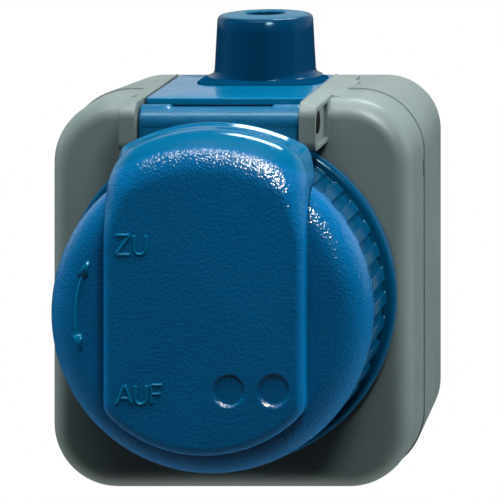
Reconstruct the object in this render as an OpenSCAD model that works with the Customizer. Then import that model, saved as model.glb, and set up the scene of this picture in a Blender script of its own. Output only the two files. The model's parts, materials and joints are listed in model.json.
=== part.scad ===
// Surface mounted waterproof socket outlet with a hinged flap and a turning bayonet ring.
// Every piece is drawn as seen from the front: x to the right, y up, z out of the wall.
// The module facing() then turns that view into the part's frame, wall on the XZ plane.

/* [Housing] */
// Width of the front cover
case_w = 75; // [72:1:90]
// Height of the front cover
case_h = 81; // [77:1:88]
// Corner radius of the front cover
corner_r = 13.4; // [10:0.2:16]
// Distance from the wall to the flat front of the cover
case_d = 54; // [50:1:64]
// Distance from the wall to the seam between box and cover
seam_z = 37; // [34:0.5:40]
// Wall thickness of box and cover
wall = 2.8; // [2.4:0.1:3.2]
// Rounding of the cover's front edge
front_r = 4; // [3:0.25:5]
// How far the box stands out from the cover's outline at the seam
box_proud = 0.3; // [0.1:0.1:0.5]
// How far each side of the box draws in towards the wall
box_draw = 2; // [0.5:0.25:3]

/* [Fixings] */
// Distance between the wall screw holes across the back
wall_hole_x = 25; // [18:1:28]
// Distance between the wall screw holes up the back
wall_hole_y = 58; // [52:1:61]
// Radius of a wall screw hole
wall_hole_r = 2.3; // [1.8:0.1:2.8]
// Distance of a cover screw from the centre lines
cover_screw_at = 21.5; // [21:0.25:22.5]
// Radius of a screw's shank
screw_r = 1.5; // [1.2:0.1:1.8]
// Radius of a screw's head
screw_head_r = 2.8; // [2.4:0.1:3]
// Height of a screw's head
screw_head_h = 1.8; // [1.4:0.1:2.2]

/* [Hinge] */
// Distance from the wall to the hinge axis
hinge_z = 64.6; // [64:0.2:66]
// How far the hinge axis lies below the cover's top
hinge_drop = 3.1; // [2.8:0.1:3.4]
// Gap between the ring and the hinge barrel
hinge_gap = 1; // [0.8:0.1:1.4]
// Radius of the hinge pin
pin_r = 1.6; // [1.3:0.1:2]
// Outer radius of the flap's hinge barrel
barrel_r = 3.6; // [3:0.1:3.8]
// Inner distance between the two hinge lugs
lug_gap = 33.6; // [30:0.4:36]
// Thickness of a hinge lug
lug_t = 3.4; // [2.6:0.2:4.4]
// How far a lug reaches in front of the hinge axis
lug_nose = 5.9; // [5:0.1:6.2]
// Depth of a lug below the hinge axis
lug_drop = 5.4; // [4:0.2:5.6]
// Radius of the round sink at a lug's outer face
lug_sink_r = 2.5; // [2.1:0.1:2.8]

/* [Cable entry] */
// How far the cable nozzle stands to the right of the centre
nozzle_x = 2.2; // [-3:0.2:3]
// Distance from the wall to the nozzle's axis
nozzle_z = 26; // [25:0.5:26.5]
// Nozzle radius at its foot
nozzle_foot_r = 10.7; // [9.5:0.1:11.5]
// Nozzle radius at its top
nozzle_top_r = 10; // [9:0.1:10.6]
// Height of the nozzle above its plate
nozzle_h = 12.5; // [8:0.5:18]
// Radius of the cable hole in the nozzle
cable_hole_r = 4.3; // [3:0.1:5]
// How far the entry plate's seat lies below the cover's top
seat_sink = 0.3; // [0.1:0.1:0.6]
// Thickness of the entry plate
plate_t = 1.6; // [1.2:0.1:1.8]

/* [Socket] */
// Radius of the plug recess
recess_r = 19.75; // [19.5:0.05:20]
// Depth of the plug recess
recess_d = 17.5; // [16.5:0.25:18]
// Distance between the two pin holes
pin_pitch = 19; // [18.6:0.1:19.4]
// Radius of a pin hole
pin_hole_r = 2.7; // [2.5:0.1:3]
// How far the collar stands in front of the cover
collar_h = 15; // [14.5:0.25:15.5]
// Outer radius of the collar
collar_r = 23.8; // [23.6:0.1:24]
// Wall of the socket cup
cup_wall = 1.55; // [1.4:0.05:1.6]

/* [Lock ring] */
// How far the ring's rear flange stands out
flange_step = 2; // [1.2:0.1:2.2]
// Thickness of the rear flange
flange_t = 3.6; // [2.6:0.2:4.4]
// Wall of the ring
ring_wall = 2.7; // [2.3:0.1:2.8]
// Distance from the cover to the ring's front face
ring_h = 26.5; // [26:0.1:27]
// Rounding of the ring's front edge
ring_edge_r = 5; // [3.5:0.25:6]
// Height of the smooth band in front of the grip ribs
dome_h = 6.5; // [6.25:0.25:8]
// Number of grip ribs
rib_count = 40; // [24:1:48]
// Height of a grip rib
rib_h = 0.7; // [0.4:0.1:0.9]
// Width of a grip rib
rib_w = 2.5; // [1:0.1:3]
// Turn of the ring from open to shut
lock_turn = 40; // [36:1:44]

/* [Flap] */
// Width of the flap
flap_w = 40.8; // [39:0.4:42]
// Distance from the ring's front face to the flap's front face
flap_h = 5.5; // [4.5:0.25:7]
// How far the hood stands out above the ring
hood_rise = 4.5; // [4:0.1:5.2]
// Rounding between the hood and the flap's front
hood_round = 8; // [7:0.5:10]
// Rounding of the hood's shoulders seen from the front
shoulder_r = 10; // [5:0.5:12]
// Radius of the flap's lower edge
toe_r = 27.5; // [26:0.25:29]
// Rounding of the lower edge's corners seen from the front
toe_corner_r = 4; // [2:0.25:6]
// Rounding of the flap's long edges
flap_edge_r = 2; // [1:0.25:2.5]
// Thickness of the flap's wall
flap_wall = 2.6; // [2.2:0.1:3]
// Radius of the hub that the ring turns on
hub_r = 9; // [7.5:0.25:10]
// Radius of the two round sinks in the flap's face
sink_r = 3.1; // [2.4:0.1:3.4]

/* [Hidden] */

$fn = 96;
// Overshoot of cuts
over = 1;
// Clearance of parts that turn, and of parts that only stand near each other
run_fit = 0.06;
loose = 0.3;

grey = [0.47, 0.5, 0.49];
blue = [0.0, 0.27, 0.47];
black = [0.12, 0.12, 0.13];
white = [0.86, 0.86, 0.84];
brass = [0.8, 0.62, 0.3];
steel = [0.72, 0.73, 0.75];

// Housing
half_w = case_w / 2;
half_h = case_h / 2;
box_w = case_w + 2 * box_proud;
box_h = case_h + 2 * box_proud;
box_r = corner_r + box_proud;
cover_in_z = case_d - wall;
seal_w = wall / 2;
seal_t = 1;
seal_inset = (wall - seal_w) / 2;
pry_w = 3.6;
pry_h = 1.2;
pry_y = 24;
pry_d = 1.2;
post_wall = 0.6;
post_r = screw_head_r + post_wall;
post_top = cover_in_z - wall;
head_sink = screw_head_h + loose;
screw_bite = 10;
cover_screw_l = wall + screw_bite;

// Hinge lugs
hinge_y = half_h - hinge_drop;
lug_in = lug_gap / 2;
lug_out = lug_in + lug_t;
lug_low = hinge_y - lug_drop;
lug_front = hinge_z + lug_nose;
lug_round = 2;
lug_brow = 3;
lug_sink_d = 2.2;

// Cable entry
seat_y = half_h - seat_sink;
plate_y = seat_y + plate_t;
plate_front = hinge_z - barrel_r - loose;
plate_run = 2.5;
plate_rear = nozzle_z - plate_run;
plate_half = lug_in - loose;
// Ramps that rise from the cover's top to the edge of the entry plate and carry the lugs
ramp_rise = 0.2;
ramp_top = plate_y + ramp_rise;
ramp_land = 1.8;
ramp_out = lug_out + ramp_land;
ramp_slope = (ramp_top - half_h) / (ramp_out - lug_in);
lug_out_top = ramp_top - ramp_slope * lug_t;
lug_rim = 0.9;
lug_hollow = 0.8;
pad_land = 2.4;
pad_half = nozzle_foot_r + pad_land;
pad_h = 0.6;
pad_round = 5;
foot_fillet = pad_land;
nozzle_round = 1.2;
nozzle_roof = 3.4;
nozzle_top = plate_y + nozzle_h;
spigot_r = 7.4;
spigot_wall = 1.8;
nut_land = 2.5;
nut_flats = 2 * (spigot_r + nut_land);
nut_t = 3.5;
platform_t = 4.3;
nut_seat_y = seat_y - platform_t;
spigot_end = 1.5;
spigot_low = nut_seat_y - nut_t - spigot_end;
washer_t = 1;
washer_r = seam_z - seal_t - nozzle_z - loose;
platform_land = 3;
platform_back = nozzle_z - nozzle_foot_r - platform_land;

// Socket
rim_z = case_d + collar_h;
rim_step = 0.4;
cup_rim_z = rim_z - rim_step;
floor_z = cup_rim_z - recess_d;
cup_r = recess_r + cup_wall;
cup_floor_t = 3.4;
base_front = floor_z - cup_floor_t;
base_t = 14;
base_back = base_front - base_t;
base_step = 0.4;
base_r = cup_r - base_step;
collar_in = cup_r + loose;
collar_foot_w = 2;
collar_foot_r = collar_r + collar_foot_w;
collar_foot_t = 2;
collar_seal_t = 1;
collar_foot_z = cover_in_z - collar_seal_t - collar_foot_t;
cover_hole_r = collar_r + loose;
bay_gap = 4.6;
bay_z = case_d + bay_gap;
bay_t = 2.6;
bay_half = 10;
bay_at = -10;

// Contacts
base_flange_t = 1.5;
pin_at = pin_pitch / 2;
sleeve_in = pin_hole_r - loose;
sleeve_t = 0.8;
sleeve_r = sleeve_in + sleeve_t;
slit_w = 0.8;
clamp_w = 7;
clamp_h = 6.4;
clamp_y = 8.4;
term_r = 1.3;
term_head_r = 2;
term_head_h = 1.2;
term_l = 5;
contact_l = 9.6;
contact_back = base_front - term_head_h - loose - contact_l;
contact_floor = 1.6;
wire_r = 1.2;
bow_w = 6;
bow_t = 0.8;
bow_z = base_front - bow_t - term_head_h - loose;
bow_inset = 1.6;
bow_at = recess_r - bow_inset;
bow_tip = 3;
bow_bump_r = 1;
bow_below = 3.5;
bow_rise = recess_d - bow_below;
centre_screw_r = 1.7;
centre_head_r = 3;
centre_sink = 1.2;

// Support plate behind the contact base
support_w = 61;
support_h = 32;
support_round = 3;
support_t = 1.5;
plate_back = base_back - support_t;
stud_x = 26;
stud_r = 3.2;
plate_screw_l = 9;

// Lock ring
ring_r = hinge_y - barrel_r - hinge_gap;
flange_r = ring_r + flange_step;
flange_edge_r = 1.2;
dome_back = case_d + ring_h - dome_h;
ring_gap = 0.8;
ring_back = case_d + ring_gap;
ring_front = case_d + ring_h;
ring_in = ring_r - rib_h - ring_wall;
bay_share = 0.607;
bay_r = collar_r + bay_share * (ring_in - collar_r);
ring_roof_t = 3;
ring_roof = ring_front - ring_roof_t;
hook_bite = 1.2;
hook_in = bay_r - hook_bite;
hook_step = 0.4;
hook_z = ring_back + hook_step;
hook_t = bay_z - hook_z - loose;
hook_at = bay_at + lock_turn;
rib_back = ring_back + flange_t - over;

// Flap
flap_front = ring_front + flap_h;
flap_gap = 0.5;
flap_seat = ring_front + flap_gap;
flap_half = flap_w / 2;
hood_r = ring_r + hood_rise;
hood_gap = 0.8;
hood_in = ring_r + hood_gap;
web_flat = 0.1;
web_front = hinge_z + barrel_r - web_flat;
web_d = 5;
hood_back = web_front - loose;
shoulder_gap = 0.9;
shoulder_back = lug_front + shoulder_gap;
relief_half = 10.4;
relief_d = 0.7;
pocket_top = flap_front - flap_wall;
sink_d = 0.6;
sink_y = -13.7;
sink_left = 4.8;
sink_right = 13.9;

// Seal inside the flap
carrier_front = ring_roof - loose;
carrier_t = 4.4;
carrier_back = carrier_front - carrier_t;
carrier_edge = 2;
carrier_r = collar_r + carrier_edge;
carrier_screw_l = 5;
lid_seal_lap = 0.8;
lid_seal_in = collar_in - lid_seal_lap / 2;
lid_seal_r = collar_r + lid_seal_lap;
lid_seal_back = rim_z + loose;
lip_t = 1.1;
lip_h = 2.4;

module facing() {
    rotate([90, 0, 0]) children();
}

// Flat outline of a rectangle with round corners
module round_rect(w, h, r) {
    square([w - 2 * r, h], center = true);
    square([w, h - 2 * r], center = true);
    for (sx = [-1, 1], sy = [-1, 1])
        translate([sx * (w / 2 - r), sy * (h / 2 - r)]) circle(r);
}

// Carries a flat shape drawn in (z, y) along x, from -half to half
module across(half) {
    translate([half, 0, 0]) rotate([0, -90, 0]) linear_extrude(2 * half) children();
}

// Block with round corners whose sides draw in by draw from z1 back to z0
module drafted_block(w, h, r, z0, z1, draw) {
    cx = w / 2 - r;
    cy = h / 2 - r;
    for (sx = [-1, 1], sy = [-1, 1])
        translate([sx * cx, sy * cy, z0]) cylinder(h = z1 - z0, r1 = r - draw, r2 = r);
    translate([-cx, 0, 0]) rotate([90, 0, 90]) linear_extrude(2 * cx) side_section(h / 2, z0, z1, draw);
    translate([0, cy, 0]) rotate([90, 0, 0]) linear_extrude(2 * cy) side_section(w / 2, z0, z1, draw);
}

module side_section(half, z0, z1, draw) {
    polygon([[draw - half, z0], [half - draw, z0], [half, z1], [-half, z1]]);
}

// Block with round corners and a round front edge
module domed_block(w, h, r, z0, z1, edge) {
    cx = w / 2 - r;
    cy = h / 2 - r;
    for (sx = [-1, 1], sy = [-1, 1])
        translate([sx * cx, sy * cy, 0]) rotate_extrude() post_section(r, z0, z1, edge);
    translate([-cx, 0, 0]) rotate([90, 0, 90]) linear_extrude(2 * cx) domed_section(h / 2, z0, z1, edge);
    translate([0, cy, 0]) rotate([90, 0, 0]) linear_extrude(2 * cy) domed_section(w / 2, z0, z1, edge);
}

module post_section(r, z0, z1, edge) {
    translate([0, z0]) square([r - edge, z1 - z0]);
    translate([0, z0]) square([r, z1 - edge - z0]);
    translate([r - edge, z1 - edge]) circle(edge);
}

module domed_section(half, z0, z1, edge) {
    post_section(half, z0, z1, edge);
    mirror([1, 0]) post_section(half, z0, z1, edge);
}

module at_cover_screws() {
    for (sx = [-1, 1], sy = [-1, 1]) translate([sx * cover_screw_at, sy * cover_screw_at, 0]) children();
}

module at_plate_screws() {
    for (sx = [-1, 1]) translate([sx * stud_x, 0, 0]) children();
}

module tube(r_out, r_in, z0, z1) {
    translate([0, 0, z0]) difference() {
        cylinder(h = z1 - z0, r = r_out);
        translate([0, 0, -over]) cylinder(h = z1 - z0 + 2 * over, r = r_in);
    }
}

// Part of a tube between two angles, less than half a turn
module tube_arc(r_out, r_in, z0, z1, from, to) {
    far = 2 * r_out;
    intersection() {
        tube(r_out, r_in, z0, z1);
        translate([0, 0, z0 - over]) linear_extrude(z1 - z0 + 2 * over)
            polygon([
                [0, 0],
                [far * cos(from), far * sin(from)],
                [far * cos((from + to) / 2), far * sin((from + to) / 2)],
                [far * cos(to), far * sin(to)]
            ]);
    }
}

// Screw that points back to the wall, with its head's front face at z1
module pan_screw(z1, length, r, head_r, head_h) {
    slot_w = r / 2;
    difference() {
        union() {
            translate([0, 0, z1 - head_h]) cylinder(h = head_h, r = head_r);
            translate([0, 0, z1 - head_h - length]) cylinder(h = length + head_h / 2, r = r);
        }
        translate([-head_r - over, -slot_w / 2, z1 - head_h / 2])
            cube([2 * (head_r + over), slot_w, head_h]);
    }
}

// Sloping ramps beside the entry plate, between two distances from the wall
module ramps(z0, z1, low) {
    for (side = [0, 1]) mirror([side, 0, 0]) translate([0, 0, z0]) linear_extrude(z1 - z0)
        polygon([[lug_in, low], [lug_in, ramp_top], [ramp_out, half_h], [ramp_out, low]]);
}

module rear_box() {
    color(grey) facing() difference() {
        union() {
            difference() {
                drafted_block(box_w, box_h, box_r, 0, seam_z, box_draw);
                translate([0, 0, wall])
                    drafted_block(box_w - 2 * wall, box_h - 2 * wall, box_r - wall, 0, seam_z, box_draw);
            }
            at_cover_screws() cylinder(h = post_top, r = post_r);
            at_plate_screws() cylinder(h = plate_back, r = stud_r);
            entry_platform();
        }
        translate([0, 0, seam_z - seal_t]) linear_extrude(seal_t + over) seal_outline();
        translate([-lug_in, seat_y, plate_rear]) cube([lug_gap, case_h, case_d]);
        at_nozzle(0) cylinder(h = case_h, r = spigot_r + loose / 2);
        at_nozzle(seat_y - washer_t) cylinder(h = case_h, r = washer_r);
        at_cover_screws() translate([0, 0, post_top - cover_screw_l]) cylinder(h = case_d, r = screw_r);
        at_plate_screws() translate([0, 0, plate_back - plate_screw_l - over])
            cylinder(h = case_d, r = screw_r);
        for (sx = [-1, 1], sy = [-1, 1])
            translate([sx * wall_hole_x / 2, sy * wall_hole_y / 2, -over])
                cylinder(h = wall + 2 * over, r = wall_hole_r);
    }
}

// Level seat for the cable entry, with a ramp on each side
module entry_platform() {
    translate([-lug_out, nut_seat_y, platform_back])
        cube([2 * lug_out, seat_y - nut_seat_y, seam_z - platform_back]);
    ramps(plate_rear, seam_z, seat_y - wall);
}

// Moves to the nozzle's axis at height y, with z turned upwards
module at_nozzle(y) {
    translate([nozzle_x, y, nozzle_z]) rotate([-90, 0, 0]) children();
}

module seal_outline() {
    difference() {
        round_rect(box_w - 2 * seal_inset, box_h - 2 * seal_inset, box_r - seal_inset);
        round_rect(
            box_w - 2 * (seal_inset + seal_w), box_h - 2 * (seal_inset + seal_w), box_r - seal_inset - seal_w
        );
    }
}

module box_seal() {
    color(black) facing() translate([0, 0, seam_z - seal_t]) linear_extrude(seal_t) seal_outline();
}

module front_cover() {
    color(grey) facing() difference() {
        union() {
            difference() {
                domed_block(case_w, case_h, corner_r, seam_z, case_d, front_r);
                translate([0, 0, seam_z - over]) linear_extrude(cover_in_z - seam_z + over)
                    round_rect(case_w - 2 * wall, case_h - 2 * wall, corner_r - wall);
                translate([-lug_in, seat_y, seam_z - over]) cube([lug_gap, case_h, case_d]);
            }
            at_cover_screws() translate([0, 0, post_top]) cylinder(h = wall + over, r = post_r);
            ramps(seam_z, cover_in_z - front_r / 2, seat_y - wall);
            intersection() {
                ramps(cover_in_z - front_r, 2 * case_d, 0);
                for (side = [-1, 1])
                    translate([side * (lug_in + lug_t / 2), 0, 0]) across(lug_t / 2)
                        lug_section(cover_in_z - front_r / 2, lug_low, lug_front, ramp_top);
            }
        }
        translate([0, 0, cover_in_z - over]) cylinder(h = wall + 2 * over, r = cover_hole_r);
        at_cover_screws() translate([0, 0, post_top - over]) cylinder(h = case_d, r = screw_r + loose / 2);
        at_cover_screws() translate([0, 0, case_d - head_sink])
            cylinder(h = case_d, r = screw_head_r + loose / 2);
        translate([-case_w, hinge_y, hinge_z]) rotate([0, 90, 0]) cylinder(h = 2 * case_w, r = pin_r);
        for (side = [-1, 1])
            translate([side * (lug_out - lug_sink_d / 2 + over / 2), hinge_y, hinge_z]) rotate([0, 90, 0])
                cylinder(h = lug_sink_d + over, r = lug_sink_r, center = true);
        // shallow hollow in each lug's outer face
        for (side = [-1, 1])
            translate([side * (lug_out + lug_hollow), 0, 0]) across(2 * lug_hollow)
                lug_section(case_d + lug_rim, lug_low + lug_rim, lug_front - lug_rim, lug_out_top - lug_rim);
        for (side = [-1, 1])
            translate([side * half_w, pry_y, seam_z]) cube([2 * pry_d, pry_w, 2 * pry_h], center = true);
    }
}

// Side view of a hinge lug, with a round nose and a rounder brow
module lug_section(back, low, front, top) {
    translate([back, low]) square([front - lug_brow - back, top - low]);
    translate([back, low]) square([front - lug_round - back, top - lug_brow - low]);
    translate([back, low + lug_round]) square([front - back, top - lug_brow - low - lug_round]);
    translate([front - lug_round, low + lug_round]) circle(lug_round);
    translate([front - lug_brow, top - lug_brow]) circle(lug_brow);
}

module cover_screws() {
    color(steel) facing() at_cover_screws()
        pan_screw(case_d - loose, cover_screw_l, screw_r, screw_head_r, screw_head_h);
}

module cable_entry() {
    color(blue) facing() difference() {
        union() {
            // plate that covers the joint between box and cover
            translate([-plate_half, seat_y, plate_rear])
                cube([2 * plate_half, plate_t, plate_front - plate_rear]);
            // low pad round the nozzle's foot
            at_nozzle(seat_y) linear_extrude(plate_t + pad_h)
                round_rect(2 * pad_half, 2 * nozzle_foot_r, pad_round);
            // nozzle whose foot runs out to the pad's ends
            at_nozzle(0) intersection() {
                rotate_extrude() nozzle_section();
                linear_extrude(2 * nozzle_top) round_rect(2 * pad_half, 2 * nozzle_foot_r, pad_round);
            }
            at_nozzle(spigot_low) cylinder(h = seat_y - spigot_low + over, r = spigot_r);
        }
        at_nozzle(spigot_low - over) cylinder(h = nozzle_top, r = cable_hole_r);
        at_nozzle(spigot_low - over)
            cylinder(h = nozzle_top - nozzle_roof - spigot_low + over, r = spigot_r - spigot_wall);
    }
}

// Half section of the nozzle: a slightly tapered stub with a hollow fillet at its foot
module nozzle_section() {
    foot = plate_y + pad_h;
    difference() {
        polygon([
            [0, seat_y],
            [nozzle_foot_r + foot_fillet, seat_y],
            [nozzle_foot_r + foot_fillet, foot],
            [nozzle_foot_r, foot + foot_fillet],
            [nozzle_top_r, nozzle_top - nozzle_round],
            [nozzle_top_r - nozzle_round, nozzle_top],
            [0, nozzle_top]
        ]);
        translate([nozzle_foot_r + foot_fillet, foot + foot_fillet]) circle(foot_fillet);
    }
    translate([nozzle_top_r - nozzle_round, nozzle_top - nozzle_round]) circle(nozzle_round);
}

module entry_seal() {
    color(black) facing() at_nozzle(0) tube(washer_r, spigot_r + loose / 2, seat_y - washer_t, seat_y);
}

module entry_nut() {
    color(blue) facing() at_nozzle(nut_seat_y - nut_t) difference() {
        cylinder(h = nut_t, r = nut_flats / 2 / cos(30), $fn = 6);
        translate([0, 0, -over]) cylinder(h = nut_t + 2 * over, r = spigot_r + run_fit);
    }
}

module hinge_pin() {
    color(steel) facing() translate([0, hinge_y, hinge_z]) rotate([0, 90, 0])
        cylinder(h = 2 * (lug_out - lug_sink_d), r = pin_r, center = true);
}

module socket_collar() {
    color(grey) facing() {
        tube(collar_r, collar_in, collar_foot_z, rim_z);
        tube(collar_foot_r, collar_in, collar_foot_z, collar_foot_z + collar_foot_t);
        for (turn = [0, 180])
            tube_arc(
                bay_r, collar_r - over, bay_z, bay_z + bay_t, bay_at - bay_half + turn,
                bay_at + bay_half + turn
            );
    }
}

module collar_seal() {
    color(black) facing() tube(collar_foot_r, cover_hole_r, cover_in_z - collar_seal_t, cover_in_z);
}

module socket_cup() {
    color(white) facing() difference() {
        translate([0, 0, base_front]) cylinder(h = cup_rim_z - base_front, r = cup_r);
        translate([0, 0, floor_z]) cylinder(h = recess_d + over, r = recess_r);
        for (sx = [-1, 1]) translate([sx * pin_at, 0, base_front - over])
            cylinder(h = cup_floor_t + 2 * over, r = pin_hole_r);
        for (sy = [-1, 1]) translate([0, sy * (bow_at + bow_t / 2), floor_z])
            cube([bow_w + 2 * loose, bow_t + 2 * loose, 3 * cup_floor_t], center = true);
        translate([0, 0, base_front - over]) cylinder(h = case_d, r = centre_screw_r + loose / 2);
        translate([0, 0, floor_z - centre_sink]) cylinder(h = case_d, r = centre_head_r + loose / 2);
    }
}

module contact_base() {
    color(white) facing() difference() {
        union() {
            translate([0, 0, base_back]) cylinder(h = base_t, r = base_r);
            translate([0, 0, base_front - base_flange_t]) cylinder(h = base_flange_t, r = collar_foot_r);
            tube(collar_foot_r, collar_in, base_front - base_flange_t, collar_foot_z);
        }
        for (side = [-1, 1]) translate([side * pin_at, 0, contact_back]) linear_extrude(base_t + over)
            contact_outline(loose / 2);
        translate([-bow_w / 2 - loose, -bow_at - 2 * bow_t, bow_z])
            cube([bow_w + 2 * loose, 2 * bow_at + 4 * bow_t, base_t]);
        at_terminals() translate([0, 0, base_back - over]) cylinder(h = base_t, r = wire_r);
        translate([0, 0, base_back - over]) cylinder(h = base_t, r = centre_screw_r + loose / 2);
        translate([0, -clamp_y, bow_z - term_l]) cylinder(h = base_t, r = term_r);
    }
}

// Plan of a contact: a round sleeve joined to a square clamp
module contact_outline(gap) {
    circle(sleeve_r + gap);
    translate([-sleeve_t / 2 - gap, 0]) square([sleeve_t + 2 * gap, clamp_y]);
    translate([0, clamp_y]) square([clamp_w + 2 * gap, clamp_h + 2 * gap], center = true);
}

module at_terminals() {
    for (side = [-1, 1]) translate([side * pin_at, clamp_y, 0]) children();
}

module contact(side) {
    facing() translate([side * pin_at, 0, contact_back]) difference() {
        linear_extrude(contact_l) contact_outline(0);
        translate([0, 0, contact_floor]) cylinder(h = contact_l, r = sleeve_in);
        translate([-slit_w / 2, -2 * sleeve_r, contact_floor]) cube([slit_w, 2 * sleeve_r, contact_l]);
        translate([0, clamp_y, -over]) cylinder(h = contact_l + 2 * over, r = term_r);
    }
}

module left_contact() {
    color(brass) contact(-1);
}

module right_contact() {
    color(brass) contact(1);
}

module earth_bow() {
    color(brass) facing() difference() {
        union() {
            translate([-bow_w / 2, -bow_at - bow_t, bow_z]) cube([bow_w, 2 * (bow_at + bow_t), bow_t]);
            for (turn = [0, 180]) rotate([0, 0, turn]) {
                translate([-bow_w / 2, bow_at, bow_z]) cube([bow_w, bow_t, floor_z + bow_rise - bow_z]);
                translate([0, bow_at + bow_t / 2, floor_z + bow_rise - bow_tip]) rotate([0, 90, 0])
                    cylinder(h = bow_w, r = bow_bump_r, center = true);
            }
        }
        translate([0, 0, bow_z - over]) cylinder(h = base_t, r = centre_screw_r + loose / 2);
        translate([0, -clamp_y, bow_z - over]) cylinder(h = base_t, r = term_r + loose / 2);
    }
}

module terminal_screws() {
    color(steel) facing() {
        at_terminals() pan_screw(
            contact_back + contact_l + term_head_h, contact_l / 2, term_r, term_head_r, term_head_h
        );
        translate([0, -clamp_y, 0])
            pan_screw(bow_z + bow_t + term_head_h, term_l, term_r, term_head_r, term_head_h);
    }
}

module support_plate() {
    color(steel) facing() translate([0, 0, plate_back]) difference() {
        linear_extrude(support_t) round_rect(support_w, support_h, support_round);
        at_plate_screws() translate([0, 0, -over])
            cylinder(h = support_t + 2 * over, r = screw_r + loose / 2);
        at_terminals() translate([0, 0, -over]) cylinder(h = support_t + 2 * over, r = wire_r);
        translate([0, 0, -over]) cylinder(h = support_t + 2 * over, r = centre_screw_r);
    }
}

module plate_screws() {
    color(steel) facing() at_plate_screws()
        pan_screw(base_back + screw_head_h, support_t + plate_screw_l, screw_r, screw_head_r, screw_head_h);
}

module centre_screw() {
    color(steel) facing() pan_screw(
        floor_z - centre_sink + screw_head_h, floor_z - centre_sink - plate_back, centre_screw_r,
        centre_head_r, screw_head_h
    );
}

module lid_flap() {
    color(blue) facing() difference() {
        union() {
            difference() {
                union() {
                    flap_shell();
                    flap_hinge();
                }
                // room for the ring below the flap
                rotate_extrude() post_section(hood_in, 0, flap_seat, ring_edge_r + flap_seat - ring_front);
                flap_pocket();
            }
            translate([0, 0, carrier_front]) cylinder(h = pocket_top - carrier_front + over / 2, r = hub_r);
        }
        translate([-case_w, hinge_y, hinge_z]) rotate([0, 90, 0])
            cylinder(h = 2 * case_w, r = pin_r + run_fit);
        translate([0, 0, carrier_front - over]) cylinder(h = carrier_screw_l + over, r = screw_r);
        for (x = [sink_left, sink_right])
            translate([x, sink_y, flap_front - sink_d]) cylinder(h = sink_d + over, r = sink_r);
    }
}

// Long strip with round edges, its hood curved over the ring and its toe an arc
module flap_shell() {
    intersection() {
        translate([0, case_h, 0]) rotate([90, 0, 0]) linear_extrude(2 * case_h)
            domed_section(flap_half, hood_back, flap_front, flap_edge_r);
        union() {
            intersection() {
                rotate_extrude() post_section(hood_r, hood_back, flap_front, hood_round);
                linear_extrude(2 * case_d) end_outline(hood_r, shoulder_r);
                hood_back_edge();
            }
            intersection() {
                rotate_extrude() post_section(toe_r, ring_front - ring_edge_r, flap_front, flap_edge_r);
                linear_extrude(2 * case_d) mirror([0, 1]) end_outline(toe_r, toe_corner_r);
            }
        }
    }
}

// Front view of an end of the flap: straight sides, round corners and an arc between them
module end_outline(end_r, edge_r) {
    at_x = flap_half - edge_r;
    at_y = sqrt(pow(end_r - edge_r, 2) - pow(at_x, 2));
    reach = 2 * end_r / norm([at_x, at_y]);
    translate([-flap_half, 0]) square([flap_w, at_y]);
    for (side = [-1, 1]) translate([side * at_x, at_y]) circle(edge_r);
    intersection() {
        circle(end_r);
        polygon([[0, 0], [reach * at_x, reach * at_y], [-reach * at_x, reach * at_y]]);
    }
}

// The hood reaches furthest back between the lugs
module hood_back_edge() {
    translate([-case_w, -case_h, shoulder_back]) cube([2 * case_w, 2 * case_h, case_d]);
    translate([-plate_half, -case_h, hood_back]) cube([2 * plate_half, 2 * case_h, case_d]);
}

// Barrel on the hinge axis and the web that carries it
module flap_hinge() {
    difference() {
        translate([0, hinge_y, hinge_z]) rotate([0, 90, 0])
            cylinder(h = 2 * plate_half, r = barrel_r, center = true);
        translate([-relief_half, hinge_y + barrel_r - relief_d, hinge_z - 2 * barrel_r])
            cube([2 * relief_half, barrel_r, 2 * barrel_r]);
    }
    translate([-plate_half, hood_in - web_d, hinge_z])
        cube([2 * plate_half, hinge_y - hood_in + web_d, web_front - hinge_z]);
}

// Hollow between the flap's face and the ring's front, round the hub
module flap_pocket() {
    pocket_half = flap_half - flap_wall;
    translate([0, 0, ring_front]) linear_extrude(pocket_top - ring_front) difference() {
        union() {
            translate([-pocket_half, 0]) square([2 * pocket_half, toe_r - flap_wall]);
            intersection() {
                circle(toe_r - flap_wall);
                translate([-pocket_half, -case_h]) square([2 * pocket_half, case_h]);
            }
        }
        circle(hub_r + flap_wall);
    }
}

module seal_carrier() {
    color(grey) facing() difference() {
        union() {
            translate([0, 0, carrier_back]) cylinder(h = carrier_t, r = carrier_r);
            tube(carrier_r, lid_seal_r + run_fit, carrier_back - lip_h, carrier_back);
            tube(lid_seal_in - run_fit, lid_seal_in - lip_t, carrier_back - lip_h, carrier_back);
        }
        translate([0, 0, carrier_back - over]) cylinder(h = carrier_t + 2 * over, r = screw_r + loose / 2);
    }
}

module lid_seal() {
    color(black) facing() tube(lid_seal_r, lid_seal_in, lid_seal_back, carrier_back);
}

module carrier_screw() {
    color(steel) facing() mirror([0, 0, 1])
        pan_screw(
            screw_head_h - carrier_back, carrier_t + carrier_screw_l, screw_r, screw_head_r, screw_head_h
        );
}

module lock_ring() {
    color(blue) facing() {
        difference() {
            union() {
                rotate_extrude() post_section(ring_r, dome_back, ring_front, ring_edge_r);
                rotate_extrude() post_section(flange_r, ring_back, ring_back + flange_t, flange_edge_r);
                translate([0, 0, rib_back]) cylinder(h = dome_back - rib_back + over, r = ring_r - rib_h);
                intersection() {
                    translate([0, 0, rib_back]) linear_extrude(dome_back - rib_back + over) grip_ribs();
                    translate([0, 0, rib_back]) cylinder(h = ring_h, r = ring_r);
                }
            }
            rotate_extrude() post_section(ring_in, ring_back - over, ring_roof, ring_edge_r - ring_wall);
            translate([0, 0, ring_back]) cylinder(h = ring_h, r = hub_r + run_fit);
        }
        for (turn = [0, 180])
            tube_arc(
                ring_in + over / 2, hook_in, hook_z, hook_z + hook_t, hook_at - bay_half + turn,
                hook_at + bay_half + turn
            );
    }
}

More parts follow.
